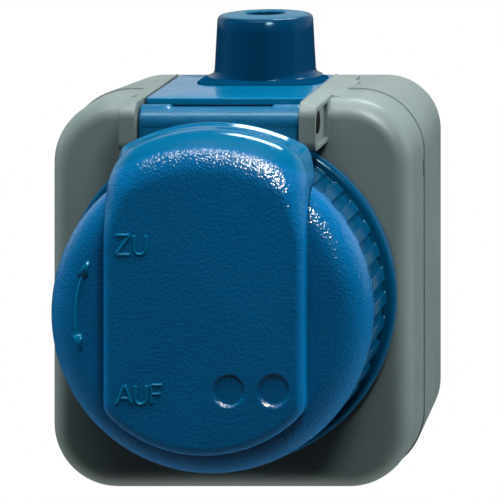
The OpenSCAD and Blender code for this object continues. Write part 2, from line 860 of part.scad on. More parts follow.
module grip_ribs() {
    for (i = [0 : rib_count - 1]) rotate(i * 360 / rib_count)
        translate([ring_r - 2 * rib_h, -rib_w / 2]) square([3 * rib_h, rib_w]);
}

rear_box();
box_seal();
front_cover();
cover_screws();
cable_entry();
entry_seal();
entry_nut();
hinge_pin();
socket_collar();
collar_seal();
socket_cup();
contact_base();
left_contact();
right_contact();
earth_bow();
terminal_screws();
support_plate();
plate_screws();
centre_screw();
lid_flap();
seal_carrier();
lid_seal();
carrier_screw();
lock_ring();
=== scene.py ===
"""Looks of a surface mounted waterproof socket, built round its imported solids.

The solids keep their place. Each one is dressed in a procedural finish, and the pieces that need softer
forms than a solid gives are numpy surfaces that stand for their solids.
"""
import json
import logging
import math
from dataclasses import dataclass, field, replace
from enum import Enum
from typing import Any, Callable

import bmesh
import bpy
import numpy as np
from mathutils import Matrix, Vector


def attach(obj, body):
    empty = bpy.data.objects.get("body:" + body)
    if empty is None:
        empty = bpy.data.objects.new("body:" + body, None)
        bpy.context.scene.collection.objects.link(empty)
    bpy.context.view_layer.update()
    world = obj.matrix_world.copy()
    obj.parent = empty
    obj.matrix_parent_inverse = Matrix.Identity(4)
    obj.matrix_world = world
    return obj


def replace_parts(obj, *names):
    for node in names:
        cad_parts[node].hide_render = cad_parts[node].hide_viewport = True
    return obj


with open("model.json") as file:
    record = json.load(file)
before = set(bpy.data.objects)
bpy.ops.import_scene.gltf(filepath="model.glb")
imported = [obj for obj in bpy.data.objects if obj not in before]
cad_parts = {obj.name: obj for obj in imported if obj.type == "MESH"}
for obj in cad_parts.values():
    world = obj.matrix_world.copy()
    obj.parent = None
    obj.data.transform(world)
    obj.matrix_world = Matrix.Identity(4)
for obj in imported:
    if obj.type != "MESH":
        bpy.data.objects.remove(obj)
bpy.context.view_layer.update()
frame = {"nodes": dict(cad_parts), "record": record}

log = logging.getLogger("socket")
# Metres in a millimetre, and the distance in metres within which points are welded
MM = 0.001
WELD = 1e-7
FULL_TURN = 2.0 * math.pi
QUARTER_TURN = math.pi / 2.0
# Points on the rounding of a small edge, and on a larger bend
TIP_POINTS = 4
BEND_POINTS = 8
WHITE = (1.0, 1.0, 1.0, 1.0)

Pair = tuple[float, float]
Triple = tuple[float, float, float]
Material = bpy.types.Material
Socket = bpy.types.NodeSocket


class Slot(Enum):
    """Material slots of the record."""

    GREY = "grey_housing"
    BLUE = "blue_cap"
    RUBBER = "black_rubber"
    WHITE = "white_insert"
    BRASS = "brass"
    STEEL = "steel"


class Body(Enum):
    """Bodies that a piece can ride on."""

    HOUSING = "housing"
    LID = "lid"
    RING = "ring"


class Graph:
    """A node tree with short ways to add and join its nodes."""

    def __init__(self, tree: bpy.types.NodeTree) -> None:
        """Keeps the tree that the nodes go into."""
        self.tree = tree

    def add(self, kind: str, values: dict[Any, Any] | None = None, **settings: Any) -> bpy.types.Node:
        """Adds a node.

        Args:
            kind: node type without its "ShaderNode" prefix.
            values: socket name or index to a value, or to another node's output.
            settings: attributes of the node.

        Returns:
            The new node.
        """
        node = self.tree.nodes.new(kind if kind.startswith("Node") else "ShaderNode" + kind)
        for name, value in settings.items():
            setattr(node, name, value)
        for name, value in (values or {}).items():
            self.put(node.inputs[name], value)
        return node

    def put(self, socket: Socket, value: Any) -> None:
        """Sets a socket to a value, or links it to an output.

        Args:
            socket: the input to fill.
            value: a plain value, or a node's output.
        """
        if isinstance(value, Socket):
            self.tree.links.new(value, socket)
        else:
            socket.default_value = value

    def maths(self, operation: str, *terms: Any) -> Socket:
        """Result of a Math node on up to three values or outputs."""
        return self.add("Math", dict(enumerate(terms)), operation=operation).outputs[0]

    def ramp(self, value: Any, low: float, high: float) -> Socket:
        """Smooth step of a value: 0 at low, 1 at high."""
        ends = {"Value": value, "From Min": low, "From Max": high}
        return self.add("MapRange", ends, interpolation_type="SMOOTHSTEP").outputs["Result"]

    def between(self, share: Any, low: float, high: float) -> Any:
        """Value between low and high by share, as a plain number where both are the same."""
        return low if low == high else self.maths("MULTIPLY_ADD", share, high - low, low)

    def mix(self, share: Any, a: Any, b: Any) -> Socket:
        """Colour between a and b by share."""
        return self.add("Mix", {0: share, 6: a, 7: b}, data_type="RGBA").outputs[2]


@dataclass
class Effects:
    """Shader node groups that several finishes share, each built once.

    Attributes:
        pebbles: usual texture scale of the grain's pebbles.
        grit: scale and height of the grit between the pebbles, as shares of the pebbles' own.
        drift: texture scale of the slow drift of tone, and the stretch of its noise that shows.
        smear: scale of the smears as a multiple of the drift's, and the stretch of their noise that shows.
        pull: how the smears are drawn out along each axis.
        lean: how the smears are turned about each axis, in radians.
        corner: usual softening radius of a corner, in metres.
        bend: cosines between which a corner counts as turned.
    """

    pebbles: float = 1800.0
    grit: Pair = (1.7, 0.4)
    drift: Triple = (45.0, 0.3, 0.7)
    smear: Triple = (2.3, 0.42, 0.72)
    pull: Triple = (3.0, 3.0, 1.0)
    lean: Triple = (0.3, 0.5, 0.2)
    corner: float = 0.0004
    bend: Pair = (0.99, 0.8)

    def __post_init__(self) -> None:
        """Builds the groups."""
        self.grain = self._grain()
        self.tone = self._tone()
        self.edge = self._edge()

    @staticmethod
    def _group(name: str, inputs: dict[str, Any], outputs: dict[str, str]) -> tuple[Graph, Any, Any]:
        """An empty group with named sockets.

        Args:
            name: the group's name.
            inputs: name to a usual number, or to None for a vector.
            outputs: name to socket type.

        Returns:
            The group's graph, its input node's sockets and its output node's sockets.
        """
        tree = bpy.data.node_groups.new(name, "ShaderNodeTree")
        for key, value in inputs.items():
            kind = "NodeSocketVector" if value is None else "NodeSocketFloat"
            socket = tree.interface.new_socket(key, in_out="INPUT", socket_type=kind)
            if value is not None:
                socket.default_value = value
        for key, kind in outputs.items():
            tree.interface.new_socket(key, in_out="OUTPUT", socket_type="NodeSocket" + kind)
        graph = Graph(tree)
        return graph, graph.add("NodeGroupInput").outputs, graph.add("NodeGroupOutput").inputs

    def _grain(self) -> bpy.types.NodeTree:
        """Spark-eroded grain: the height of small pebbles with a finer grit between them.

        Returns:
            The group.
        """
        inputs = {"Vector": None, "Pebble Scale": self.pebbles}
        graph, given, out = self._group("moulded_grain", inputs, {"Height": "Float"})
        place, scale = given["Vector"], given["Pebble Scale"]
        pebble = graph.add("TexVoronoi", {"Vector": place, "Scale": scale}, feature="SMOOTH_F1")
        fine = graph.maths("MULTIPLY", scale, self.grit[0])
        grit = graph.add("TexNoise", {"Vector": place, "Scale": fine})
        rounded = graph.maths("SUBTRACT", 1.0, pebble.outputs["Distance"])
        graph.put(out["Height"], graph.maths("MULTIPLY_ADD", grit.outputs["Fac"], self.grit[1], rounded))
        return graph.tree

    def _tone(self) -> bpy.types.NodeTree:
        """Slow drift of the moulding's tone, with faint smears from handling.

        Returns:
            The group.
        """
        graph, given, out = self._group("handled_tone", {"Vector": None}, {"Tone": "Float", "Smear": "Float"})
        scale, drift_from, drift_to = self.drift
        ratio, smear_from, smear_to = self.smear
        drift = graph.add("TexNoise", {"Vector": given["Vector"], "Scale": scale, "Detail": 3.0})
        drawn = graph.add("Mapping", {"Vector": given["Vector"], "Scale": self.pull, "Rotation": self.lean})
        noise = {"Vector": drawn.outputs[0], "Scale": scale * ratio, "Detail": 5.0, "Roughness": 0.65}
        smear = graph.add("TexNoise", noise)
        graph.put(out["Tone"], graph.ramp(drift.outputs["Fac"], drift_from, drift_to))
        graph.put(out["Smear"], graph.ramp(smear.outputs["Fac"], smear_from, smear_to))
        return graph.tree

    def _edge(self) -> bpy.types.NodeTree:
        """Broken edge of a moulding: a softened normal near corners and a mask of where it turns.

        Returns:
            The group.
        """
        outputs = {"Normal": "Vector", "Mask": "Float"}
        graph, given, out = self._group("broken_edge", {"Radius": self.corner}, outputs)
        soft = graph.add("Bevel", {"Radius": given["Radius"]}, samples=6).outputs[0]
        face = graph.add("NewGeometry").outputs["Normal"]
        turn = graph.add("VectorMath", {0: soft, 1: face}, operation="DOT_PRODUCT").outputs["Value"]
        graph.put(out["Normal"], soft)
        graph.put(out["Mask"], graph.ramp(turn, *self.bend))
        return graph.tree


def opaque(colour: Triple) -> tuple[float, float, float, float]:
    """A colour with full alpha."""
    return (*colour, 1.0)


@dataclass(frozen=True)
class Smooth:
    """The smoother zone of a finish, where the finish's mask is 0.

    Attributes:
        colour: base colour, linear: painted shade where darker than the finish's, painted light on the
            nozzle's top.
        roughness: mean roughness.
        specular: specular level.
        tint: colour of its straight reflection.
    """

    colour: Triple
    roughness: float
    specular: float
    tint: Triple


@dataclass(frozen=True)
class Finish:
    """A moulded or metal finish.

    Attributes:
        name: the material's name.
        colour: base colour, linear.
        roughness: mean roughness.
        spread: how far the roughness wanders.
        tone: how far the tone wanders, as a share.
        metal: metallic share.
        specular: specular level of the bare surface.
        tint: colour of its straight reflection.
        smooth: its smoother zone, or none.
        grain: bump height of the grain, in metres, 0 for a polished tool.
        pebble: grain size as a texture scale.
        edge: softening radius of its corners, in metres, 0 where the mesh has round corners.
        wear: lightening along corners.
    """

    name: str
    colour: Triple
    roughness: float
    spread: float = 0.08
    tone: float = 0.06
    metal: float = 0.0
    specular: float = 0.5
    tint: Triple = (1.0, 1.0, 1.0)
    smooth: Smooth | None = None
    grain: float = 0.0
    pebble: float = 1800.0
    edge: float = 0.0004
    wear: float = 0.1

    def make(self, effects: Effects, mask: Callable[[Graph, Any], Socket] | None = None) -> Material:
        """Builds the material.

        Args:
            effects: the shared node groups.
            mask: gives an output that is 0 on the smoother zone, from the graph and the coordinates.

        Returns:
            The material.
        """
        material = bpy.data.materials.new(self.name)
        material.use_nodes = True
        graph = Graph(material.node_tree)
        shader = material.node_tree.nodes["Principled BSDF"].inputs
        place = graph.add("TexCoord").outputs["Object"]
        share: Any = mask(graph, place) if mask else 1.0
        smooth = self.smooth or Smooth(self.colour, self.roughness, self.specular, self.tint)
        tone = graph.add("Group", {"Vector": place}, node_tree=effects.tone).outputs
        body = graph.mix(tone["Tone"], self._shade(1.0 - self.tone), self._shade(1.0 + self.tone))
        # Where the mask is 0 the colour is the smooth zone's copy: painted shade on the hood band, grip and
        # flange, painted light on the nozzle's top
        if self.smooth:
            body = graph.mix(share, opaque(smooth.colour), body)
        normal: Any = None
        if self.edge > 0.0:
            edge = graph.add("Group", {"Radius": self.edge}, node_tree=effects.edge).outputs
            normal = edge["Normal"]
            worn = opaque(tuple(c + (1.0 - c) * self.wear for c in self.colour))
            body = graph.mix(graph.maths("MULTIPLY", edge["Mask"], self.wear), body, worn)
        rough = graph.between(share, smooth.roughness, self.roughness)
        tint: Any = opaque(self.tint)
        if smooth.tint != self.tint:
            tint = graph.mix(share, opaque(smooth.tint), tint)
        if self.grain > 0.0:
            sizes = {"Vector": place, "Pebble Scale": self.pebble}
            height = graph.add("Group", sizes, node_tree=effects.grain).outputs["Height"]
            bump = graph.add("Bump", {"Height": graph.maths("MULTIPLY", height, share)})
            graph.put(bump.inputs["Distance"], self.grain)
            if normal is not None:
                graph.put(bump.inputs["Normal"], normal)
            normal = bump.outputs[0]
        graph.put(shader["Base Color"], body)
        graph.put(shader["Roughness"], graph.maths("MULTIPLY_ADD", tone["Smear"], self.spread, rough))
        graph.put(shader["Metallic"], self.metal)
        graph.put(shader["Specular IOR Level"], graph.between(share, smooth.specular, self.specular))
        graph.put(shader["Specular Tint"], tint)
        if normal is not None:
            graph.put(shader["Normal"], normal)
        return material

    def _shade(self, factor: float) -> tuple[float, float, float, float]:
        """The colour times a factor, no brighter than white."""
        return opaque(tuple(min(1.0, c * factor) for c in self.colour))


BLUE_TINT = (0.5, 0.9, 1.0)
TEAL_TINT = (0.5, 1.0, 0.95)
GREY_PLASTIC = Finish(
    "grey_moulding", (0.067, 0.092, 0.089), 0.42,
    specular=0.75, grain=0.000006, pebble=2600.0, edge=0.0005,
)
# Grained blue of the flap; its smooth zone is a darker copy, painted shade on the hood's band
BLUE_GRAIN_AND_SHADED_BAND = Finish(
    "blue_grained_moulding_and_painted_shade", (0.0003, 0.058, 0.149), 0.1,
    specular=1.0, tint=(1.0, 1.0, 0.92), grain=0.000115, pebble=2000.0, edge=0.0,
    smooth=Smooth((0.0003, 0.048, 0.103), 0.12, 0.5, TEAL_TINT),
)
# The ring's blue; its smooth zone is a much darker copy, painted shade on the grip and flange
BLUE_RING_AND_SHADED_GRIP = replace(
    BLUE_GRAIN_AND_SHADED_BAND, name="blue_ring_moulding_and_painted_shade", smooth=Smooth((0.0003, 0.027, 0.064), 0.14, 0.4, TEAL_TINT),
)
BLUE_GLOSS = Finish(
    "blue_polished_moulding", (0.0003, 0.064, 0.135), 0.12,
    tint=BLUE_TINT, grain=0.000002, pebble=500.0, edge=0.0,
)
# Darker copy of the blue for the hinge barrel and web: painted shade
BLUE_SATIN_SHADED = Finish(
    "blue_satin_painted_shade", (0.0003, 0.046, 0.104), 0.28,
    specular=0.7, tint=(0.7, 1.0, 1.0), edge=0.0,
)
# The nozzle's blue: a darker copy as painted shade on its wall, a paler one above its shoulder as painted
# light
BLUE_NOZZLE_SHADE_AND_LIT_TOP = Finish(
    "blue_nozzle_painted_shade_and_light", (0.0002, 0.016, 0.042), 0.14,
    specular=0.25, tint=BLUE_TINT, grain=0.000002, pebble=500.0, edge=0.0,
    smooth=Smooth((0.004, 0.05, 0.088), 0.2, 0.08, BLUE_TINT),
)
# Dark, unreflecting blue of the pad: a painted reflection of the dark nozzle in the glossy plate
BLUE_PAD_PAINTED_REFLECTION = Finish("blue_pad_painted_reflection", (0.0002, 0.017, 0.042), 0.5, specular=0.0, edge=0.0)
# Near-black finish of the discs in the lugs' recesses: painted shade for the shadow inside them
PAINTED_SHADE_DISC = Finish("painted_shade_disc", (0.004, 0.004, 0.004), 0.8, specular=0.05, edge=0.0)
BLACK_RUBBER = Finish("black_seal_rubber", (0.018, 0.018, 0.019), 0.62, grain=0.00001, pebble=2200.0)
WHITE_PLASTIC = Finish(
    "white_insert_moulding", (0.74, 0.735, 0.7), 0.3,
    tone=0.02, grain=0.000004, pebble=1500.0,
)
BRASS_STRIP = Finish(
    "rolled_brass_strip", (0.76, 0.55, 0.24), 0.3,
    metal=1.0, tone=0.1, grain=0.000004, pebble=1200.0,
)
ZINC_STEEL = Finish(
    "zinc_plated_steel", (0.58, 0.585, 0.6), 0.33,
    metal=1.0, tone=0.08, grain=0.000005, pebble=1400.0,
)

# Bounds of the finishes' zones, in metres: the grain's reach from the ring's axis, its depth, and the
# height of the nozzle's top. Outside the grain the blue turns to a darker copy as painted shade, and
# above that height the nozzle's top turns paler as painted light
GRAIN_AND_SHADE_REACH = (0.0357, 0.0345)
GRAIN_AND_SHADE_DEPTH = (-0.0725, -0.0735)
NOZZLE_LIT_TOP = (0.0551, 0.0549)


def grain_and_painted_shade_zone(graph: Graph, place: Any) -> Socket:
    """Mask of the eroded zone: 1 on dome and face; 0 on hood band, grip and flange, darkened as painted
    shade.

    Args:
        graph: the material's graph.
        place: the object's coordinates.

    Returns:
        The mask's output.
    """
    axis = graph.add("SeparateXYZ", {0: place}).outputs
    level = graph.add("CombineXYZ", {0: axis["X"], 2: axis["Z"]}).outputs[0]
    reach = graph.add("VectorMath", {0: level}, operation="LENGTH").outputs["Value"]
    return graph.maths("MULTIPLY", graph.ramp(reach, *GRAIN_AND_SHADE_REACH), graph.ramp(axis["Y"], *GRAIN_AND_SHADE_DEPTH))


def nozzle_lit_top_mask(graph: Graph, place: Any) -> Socket:
    """Mask of the nozzle's wall: 1 up to its shoulder, 0 on its top, which is painted paler as painted light.
    """
    return graph.ramp(graph.add("SeparateXYZ", {0: place}).outputs["Z"], *NOZZLE_LIT_TOP)


@dataclass
class PhotoCamera:
    """Camera of the photograph: its picture stays parallel to the wall while its eye stands aside and above.

    Attributes:
        eye: place of the eye, in metres.
        slope: how far the line of sight moves right and up for each metre towards the wall.
        focal_px: focal length along the line of sight, in pixels of the square picture.
        picture_px: side of the picture in pixels.
        sensor: sensor width in millimetres.
        clip: nearest and farthest distance seen, in metres.
    """

    eye: Triple = (0.21088, -1.2198, 0.19642)
    slope: Pair = (-0.17754, -0.16049)
    focal_px: float = 5767.5
    picture_px: float = 500.0
    sensor: float = 36.0
    clip: Pair = (0.01, 20.0)

    def build(self) -> None:
        """Hangs the camera on a stand whose inverse slants its axes, as a shifted lens does."""
        back = Vector((-self.slope[0], -1.0, -self.slope[1])).normalized()
        slant = Matrix(((1.0, 0.0, 0.0), (0.0, 0.0, 1.0), back)).transposed().to_4x4()
        data = bpy.data.cameras.new("photo_camera")
        data.sensor_fit = "HORIZONTAL"
        data.sensor_width = self.sensor
        data.lens = self.focal_px / self.picture_px * self.sensor
        data.clip_start, data.clip_end = self.clip
        stand = bpy.data.objects.new("camera_stand", None)
        camera = bpy.data.objects.new("photo_camera", data)
        camera.parent = stand
        camera.matrix_parent_inverse = Matrix.Translation(Vector(self.eye)) @ slant
        for item in (stand, camera):
            bpy.context.scene.collection.objects.link(item)
        bpy.context.scene.camera = camera


@dataclass(frozen=True)
class SoftBox:
    """A rectangular soft box.

    Attributes:
        name: the lamp's name.
        place: its centre, in metres.
        size: width and height, in metres.
        glow: radiance of its face, where 1 is white.
        aim: point that it faces.
        shines: whether it shows in reflections.
    """

    name: str
    place: Triple
    size: Pair
    glow: float
    aim: Triple = (0.0, -0.05, 0.0)
    shines: bool = True

    def build(self) -> None:
        """Hangs the lamp: its power is pi times its area times its glow."""
        data = bpy.data.lights.new(self.name, "AREA")
        data.shape = "RECTANGLE"
        data.size, data.size_y = self.size
        data.energy = math.pi * self.size[0] * self.size[1] * self.glow
        lamp = bpy.data.objects.new(self.name, data)
        lamp.location = self.place
        lamp.visible_glossy = self.shines
        lamp.rotation_euler = (Vector(self.aim) - Vector(self.place)).to_track_quat("-Z", "Y").to_euler()
        bpy.context.scene.collection.objects.link(lamp)


@dataclass
class Studio:
    """Floor, lamps and world.

    Attributes:
        floor_z: height of the floor, in metres.
        floor_y: how far the floor's centre lies behind the object.
        floor_r: radius of the floor.
        floor_sides: sides of the floor's outline.
        floor_tones: its tone, and its tone in front of the object as reflections see it.
        floor_sheen: its roughness and specular level.
        floor_front: depths between which the tone changes.
        floor_fade: reaches between which the floor turns into the white background.
        sky: brightness added low behind the object, and brightness elsewhere.
        sky_behind: directions along y between which the bright part begins.
        sky_low: directions along z between which it begins.
        sky_high: directions along z between which it ends.
        boxes: the soft boxes.
    """

    floor_z: float = -0.3
    floor_y: float = 1.2
    floor_r: float = 2.0
    floor_sides: int = 64
    floor_tones: Pair = (0.82, 0.02)
    floor_sheen: Pair = (0.8, 0.1)
    floor_front: Pair = (-0.15, 0.0)
    floor_fade: Pair = (0.35, 0.9)
    sky: Pair = (0.5, 0.015)
    sky_behind: Pair = (0.0, 0.6)
    sky_low: Pair = (-0.05, 0.1)
    sky_high: Pair = (0.65, 0.4)
    boxes: tuple[SoftBox, ...] = (
        SoftBox("key_box", (0.0, -0.12, 0.5), (0.4, 0.26), 22.5, shines=False),
        SoftBox("top_box", (-0.03, -0.31, 0.44), (0.42, 0.022), 32.0),
        SoftBox("front_box", (0.165, -0.46, 0.355), (0.11, 0.06), 96.0),
        SoftBox("rear_box", (0.12, 0.446, 0.7), (0.36, 0.12), 24.0),
        SoftBox("right_box", (0.9, 0.05, 0.3), (0.4, 0.6), 23.0, shines=False),
        SoftBox("left_box", (-0.9, 0.0, 0.2), (0.4, 0.6), 18.0, shines=False),
        SoftBox("low_box", (0.0, 0.0, -0.25), (0.5, 0.2), 3.8, shines=False),
    )

    def build(self) -> None:
        """Sets up the world, the floor and the lamps."""
        self._world()
        self._floor()
        for box in self.boxes:
            box.build()

    @staticmethod
    def _seen(graph: Graph, light: Any) -> Socket:
        """Mask of the rays that see the white background: those from the eye and those through glass."""
        return graph.maths("MAXIMUM", light["Is Camera Ray"], light["Is Transmission Ray"])

    def _floor(self) -> None:
        """A large pale disc: its rim is the radius times cosine and sine."""
        turn = np.linspace(0.0, FULL_TURN, self.floor_sides, endpoint=False)
        x, y = self.floor_r * np.cos(turn), self.floor_r * np.sin(turn) + self.floor_y
        rim = np.stack([x, y, np.full_like(x, self.floor_z)], axis=-1)
        mesh = bpy.data.meshes.new("floor")
        mesh.from_pydata(rim.tolist(), [], [list(range(self.floor_sides))])
        mesh.materials.append(self._floor_finish())
        floor = bpy.data.objects.new("floor", mesh)
        bpy.context.scene.collection.objects.link(floor)

    def _floor_finish(self) -> Material:
        """Pale under the object, white farther off to the eye, dark in front of it in reflections.

        Returns:
            The floor's material.
        """
        material = bpy.data.materials.new("pale_floor")
        material.use_nodes = True
        graph = Graph(material.node_tree)
        nodes = material.node_tree.nodes
        shader = nodes["Principled BSDF"]
        graph.put(shader.inputs["Roughness"], self.floor_sheen[0])
        graph.put(shader.inputs["Specular IOR Level"], self.floor_sheen[1])
        light = graph.add("LightPath").outputs
        seen = self._seen(graph, light)
        place = graph.add("TexCoord").outputs["Object"]
        pale, dark = (opaque((tone, tone, tone)) for tone in self.floor_tones)
        rear = graph.ramp(graph.add("SeparateXYZ", {0: place}).outputs["Y"], *self.floor_front)
        tone = graph.mix(graph.maths("MULTIPLY", rear, light["Is Diffuse Ray"]), dark, pale)
        graph.put(shader.inputs["Base Color"], graph.mix(seen, tone, pale))
        reach = graph.add("VectorMath", {0: place}, operation="LENGTH").outputs["Value"]
        far = graph.maths("MULTIPLY", seen, graph.ramp(reach, *self.floor_fade))
        glow = graph.add("Emission", {"Color": WHITE, "Strength": 1.0})
        blend = graph.add("MixShader", {0: far, 1: shader.outputs[0], 2: glow.outputs[0]})
        graph.put(nodes["Material Output"].inputs["Surface"], blend.outputs[0])
        return material

    def _world(self) -> None:
        """A plain studio: white to the eye, half bright low behind the object, dim elsewhere."""
        world = bpy.data.worlds.new("studio")
        bpy.context.scene.world = world
        world.use_nodes = True
        graph = Graph(world.node_tree)
        way = graph.add("SeparateXYZ", {0: graph.add("TexCoord").outputs["Generated"]}).outputs
        rear = graph.ramp(way["Y"], *self.sky_behind)
        behind = graph.maths("MULTIPLY", rear, graph.ramp(way["Z"], *self.sky_low))
        behind = graph.maths("MULTIPLY", behind, graph.ramp(way["Z"], *self.sky_high))
        strength = graph.maths("MULTIPLY_ADD", behind, *self.sky)
        lit = graph.add("Background", {"Color": WHITE, "Strength": strength})
        white = graph.add("Background", {"Color": WHITE, "Strength": 1.0})
        seen = self._seen(graph, graph.add("LightPath").outputs)
        mixed = graph.add("MixShader", {0: seen, 1: lit.outputs[0], 2: white.outputs[0]})
        graph.put(world.node_tree.nodes["World Output"].inputs["Surface"], mixed.outputs[0])


def placed(x: Any, y: Any, z: Any) -> np.ndarray:
    """Turns the front view, in millimetres, into the part's frame, in metres.

    Args:
        x: to the right.
        y: up.
        z: out of the wall.

    Returns:
        Points with the part's three coordinates along a last axis.
    """
    x, y, z = np.broadcast_arrays(x, y, z)
    return np.stack([x, -z, y], axis=-1) * MM


def eased(value: Any, low: float, high: float) -> np.ndarray:
    """Smooth step of a value: 0 up to low, 1 from high, a cubic between them."""
    share = np.clip((np.asarray(value, float) - low) / (high - low), 0.0, 1.0)
    return share * share * (3.0 - 2.0 * share)


def arc(centre: Pair, radius: float, start: float, end: float, count: int) -> np.ndarray:
    """Points on a circle: centre plus radius times cosine and sine, from start to end degrees."""
    turn = np.radians(np.linspace(start, end, count))
    return np.stack([centre[0] + radius * np.cos(turn), centre[1] + radius * np.sin(turn)], axis=-1)


def line(start: Pair, end: Pair, count: int) -> np.ndarray:
    """Points in even steps from start to end."""
    share = np.linspace(0.0, 1.0, count)[:, None]
    return np.asarray(start) * (1.0 - share) + np.asarray(end) * share


def round_rect(width: float, height: float, radius: float, count: int) -> tuple[np.ndarray, np.ndarray]:
    """Outline of a rectangle with round corners.

    Each corner is a quarter circle about a centre that lies radius inside both sides.

    Args:
        width: full width.
        height: full height.
        radius: corner radius.
        count: points on each corner.

    Returns:
        The outline's points and its outward normals.
    """
    turn = np.radians(np.linspace(0.0, 90.0, count)[None, :] + 90.0 * np.arange(4)[:, None])
    normal = np.stack([np.cos(turn), np.sin(turn)], axis=-1)
    side = np.array([[1.0, 1.0], [-1.0, 1.0], [-1.0, -1.0], [1.0, -1.0]])
    centre = side * [width / 2.0 - radius, height / 2.0 - radius]
    return (centre[:, None] + radius * normal).reshape(-1, 2), normal.reshape(-1, 2)


def slab(
    outline: np.ndarray, normal: np.ndarray, low: float, high: float, edge: float
) -> tuple[np.ndarray, np.ndarray]:
    """A flat plate with round edges.

    The outline moves in by edge times one minus the cosine while the height grows by edge times the sine.

    Args:
        outline: points of the plate's outline.
        normal: outward normals at those points.
        low: height of its underside.
        high: height of its upper face.
        edge: rounding of both edges.

    Returns:
        In-plane points by row and column, and the rows' heights.
    """
    turn = np.linspace(0.0, QUARTER_TURN, 6)
    inset = edge * (1.0 - np.cos(turn))
    rise = edge * np.sin(turn)
    inset = np.concatenate([inset[::-1], inset])
    height = np.concatenate([low + edge - rise[::-1], high - edge + rise])
    rows = outline[None] - normal[None] * inset[:, None, None]
    middle = outline.mean(axis=0)
    half_way = (middle + (rows[0] - middle) / 2.0)[None]
    return np.concatenate([half_way, rows, half_way]), np.concatenate([[low], height, [high]])


@dataclass
class Surface:
    """Closed shells, each a grid of points, gathered into one mesh.

    Attributes:
        points: points of each shell, in metres.
        faces: corner numbers of all faces.
        count: points gathered so far.
    """

    points: list[np.ndarray] = field(default_factory=list)
    faces: list[list[int]] = field(default_factory=list)
    count: int = 0

    def shell(self, grid: np.ndarray, looped: bool = False) -> None:
        """Adds a grid that is closed round its columns.

        Args:
            grid: points by row and column.
            looped: joins the last row to the first; otherwise each end closes on a pole at its row's mean.
        """
        rows, cols = grid.shape[:2]
        index = np.arange(rows * cols).reshape(rows, cols)
        index = np.concatenate([index, index[:, :1]], axis=1)
        points = grid.reshape(-1, 3)
        tris = np.zeros((0, 3), int)
        if looped:
            index = np.concatenate([index, index[:1]], axis=0)
        else:
            points = np.concatenate([points, [grid[0].mean(axis=0), grid[-1].mean(axis=0)]])
            pole = np.full(cols, rows * cols)
            first = np.stack([pole, index[0, 1:], index[0, :-1]], axis=-1)
            last = np.stack([pole + 1, index[-1, :-1], index[-1, 1:]], axis=-1)
            tris = np.concatenate([first, last])
        round_cell = [index[:-1, :-1], index[:-1, 1:], index[1:, 1:], index[1:, :-1]]
        quads = np.stack(round_cell, axis=-1).reshape(-1, 4)
        corners = np.concatenate([quads[:, [0, 1, 2]], quads[:, [0, 2, 3]], tris])
        a, b, c = (points[corners[:, k]] for k in range(3))
        volume = np.einsum("ij,ij->", a - points[0], np.cross(b - points[0], c - points[0]))
        if volume < 0.0:
            quads, tris = quads[:, ::-1], tris[:, ::-1]
        self.points.append(points)
        self.faces += (quads + self.count).tolist() + (tris + self.count).tolist()
        self.count += len(points)

    def build(self, name: str, material: Material, body: Body, slot: Slot) -> bpy.types.Object:
        """Makes the mesh, welds points that fall together, and hangs the piece on its body.

        Args:
            name: the piece's name.
            material: its finish.
            body: the body that it moves with.
            slot: the record's slot that it takes its finish from; not used.

        Returns:
            The new object.
        """
        mesh = bpy.data.meshes.new(name)
        mesh.from_pydata(np.concatenate(self.points).tolist(), [], self.faces)
        welder = bmesh.new()
        welder.from_mesh(mesh)
        bmesh.ops.remove_doubles(welder, verts=welder.verts, dist=WELD)
        welder.to_mesh(mesh)
        welder.free()
        mesh.shade_smooth()
        mesh.materials.append(material)
        piece = bpy.data.objects.new(name, mesh)
        bpy.context.scene.collection.objects.link(piece)
        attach(piece, body.value)
        log.info("piece %s on %s, %d faces", name, body.value, len(mesh.polygons))
        return piece


@dataclass(frozen=True)
class Stroke:
    """A raised stroke along a path on a flat face, in millimetres.

    Attributes:
        path: points in the front view.
        half: half width along the path, one value per point.
        face: height of the face that it stands on.
        rise: height of the stroke above that face.
    """

    path: np.ndarray
    half: np.ndarray
    face: float
    rise: float = 0.3

    def grid(self) -> np.ndarray:
        """Ridge along a path: level over the half width, then down at 45 degrees to the face and into it.

        Returns:
            Points by row and column.
        """
        along = np.gradient(self.path, axis=0)
        along /= np.linalg.norm(along, axis=1, keepdims=True)
        across = np.stack([-along[:, 1], along[:, 0]], axis=-1)
        side = np.array([-1.0, -1.0, -1.0, -1.0, -0.9, 0.9, 1.0, 1.0, 1.0, 1.0])
        lift = np.array([-1.0, 0.0, 0.5, 0.95, 1.0, 1.0, 0.95, 0.5, 0.0, -1.0])
        slope = self.rise * np.sign(side) * (1.0 - np.clip(lift, 0.0, 1.0))
        reach = side * self.half[:, None] + slope
        spot = self.path[:, None] + across[:, None] * reach[..., None]
        return placed(spot[..., 0], spot[..., 1], self.face + self.rise * lift)


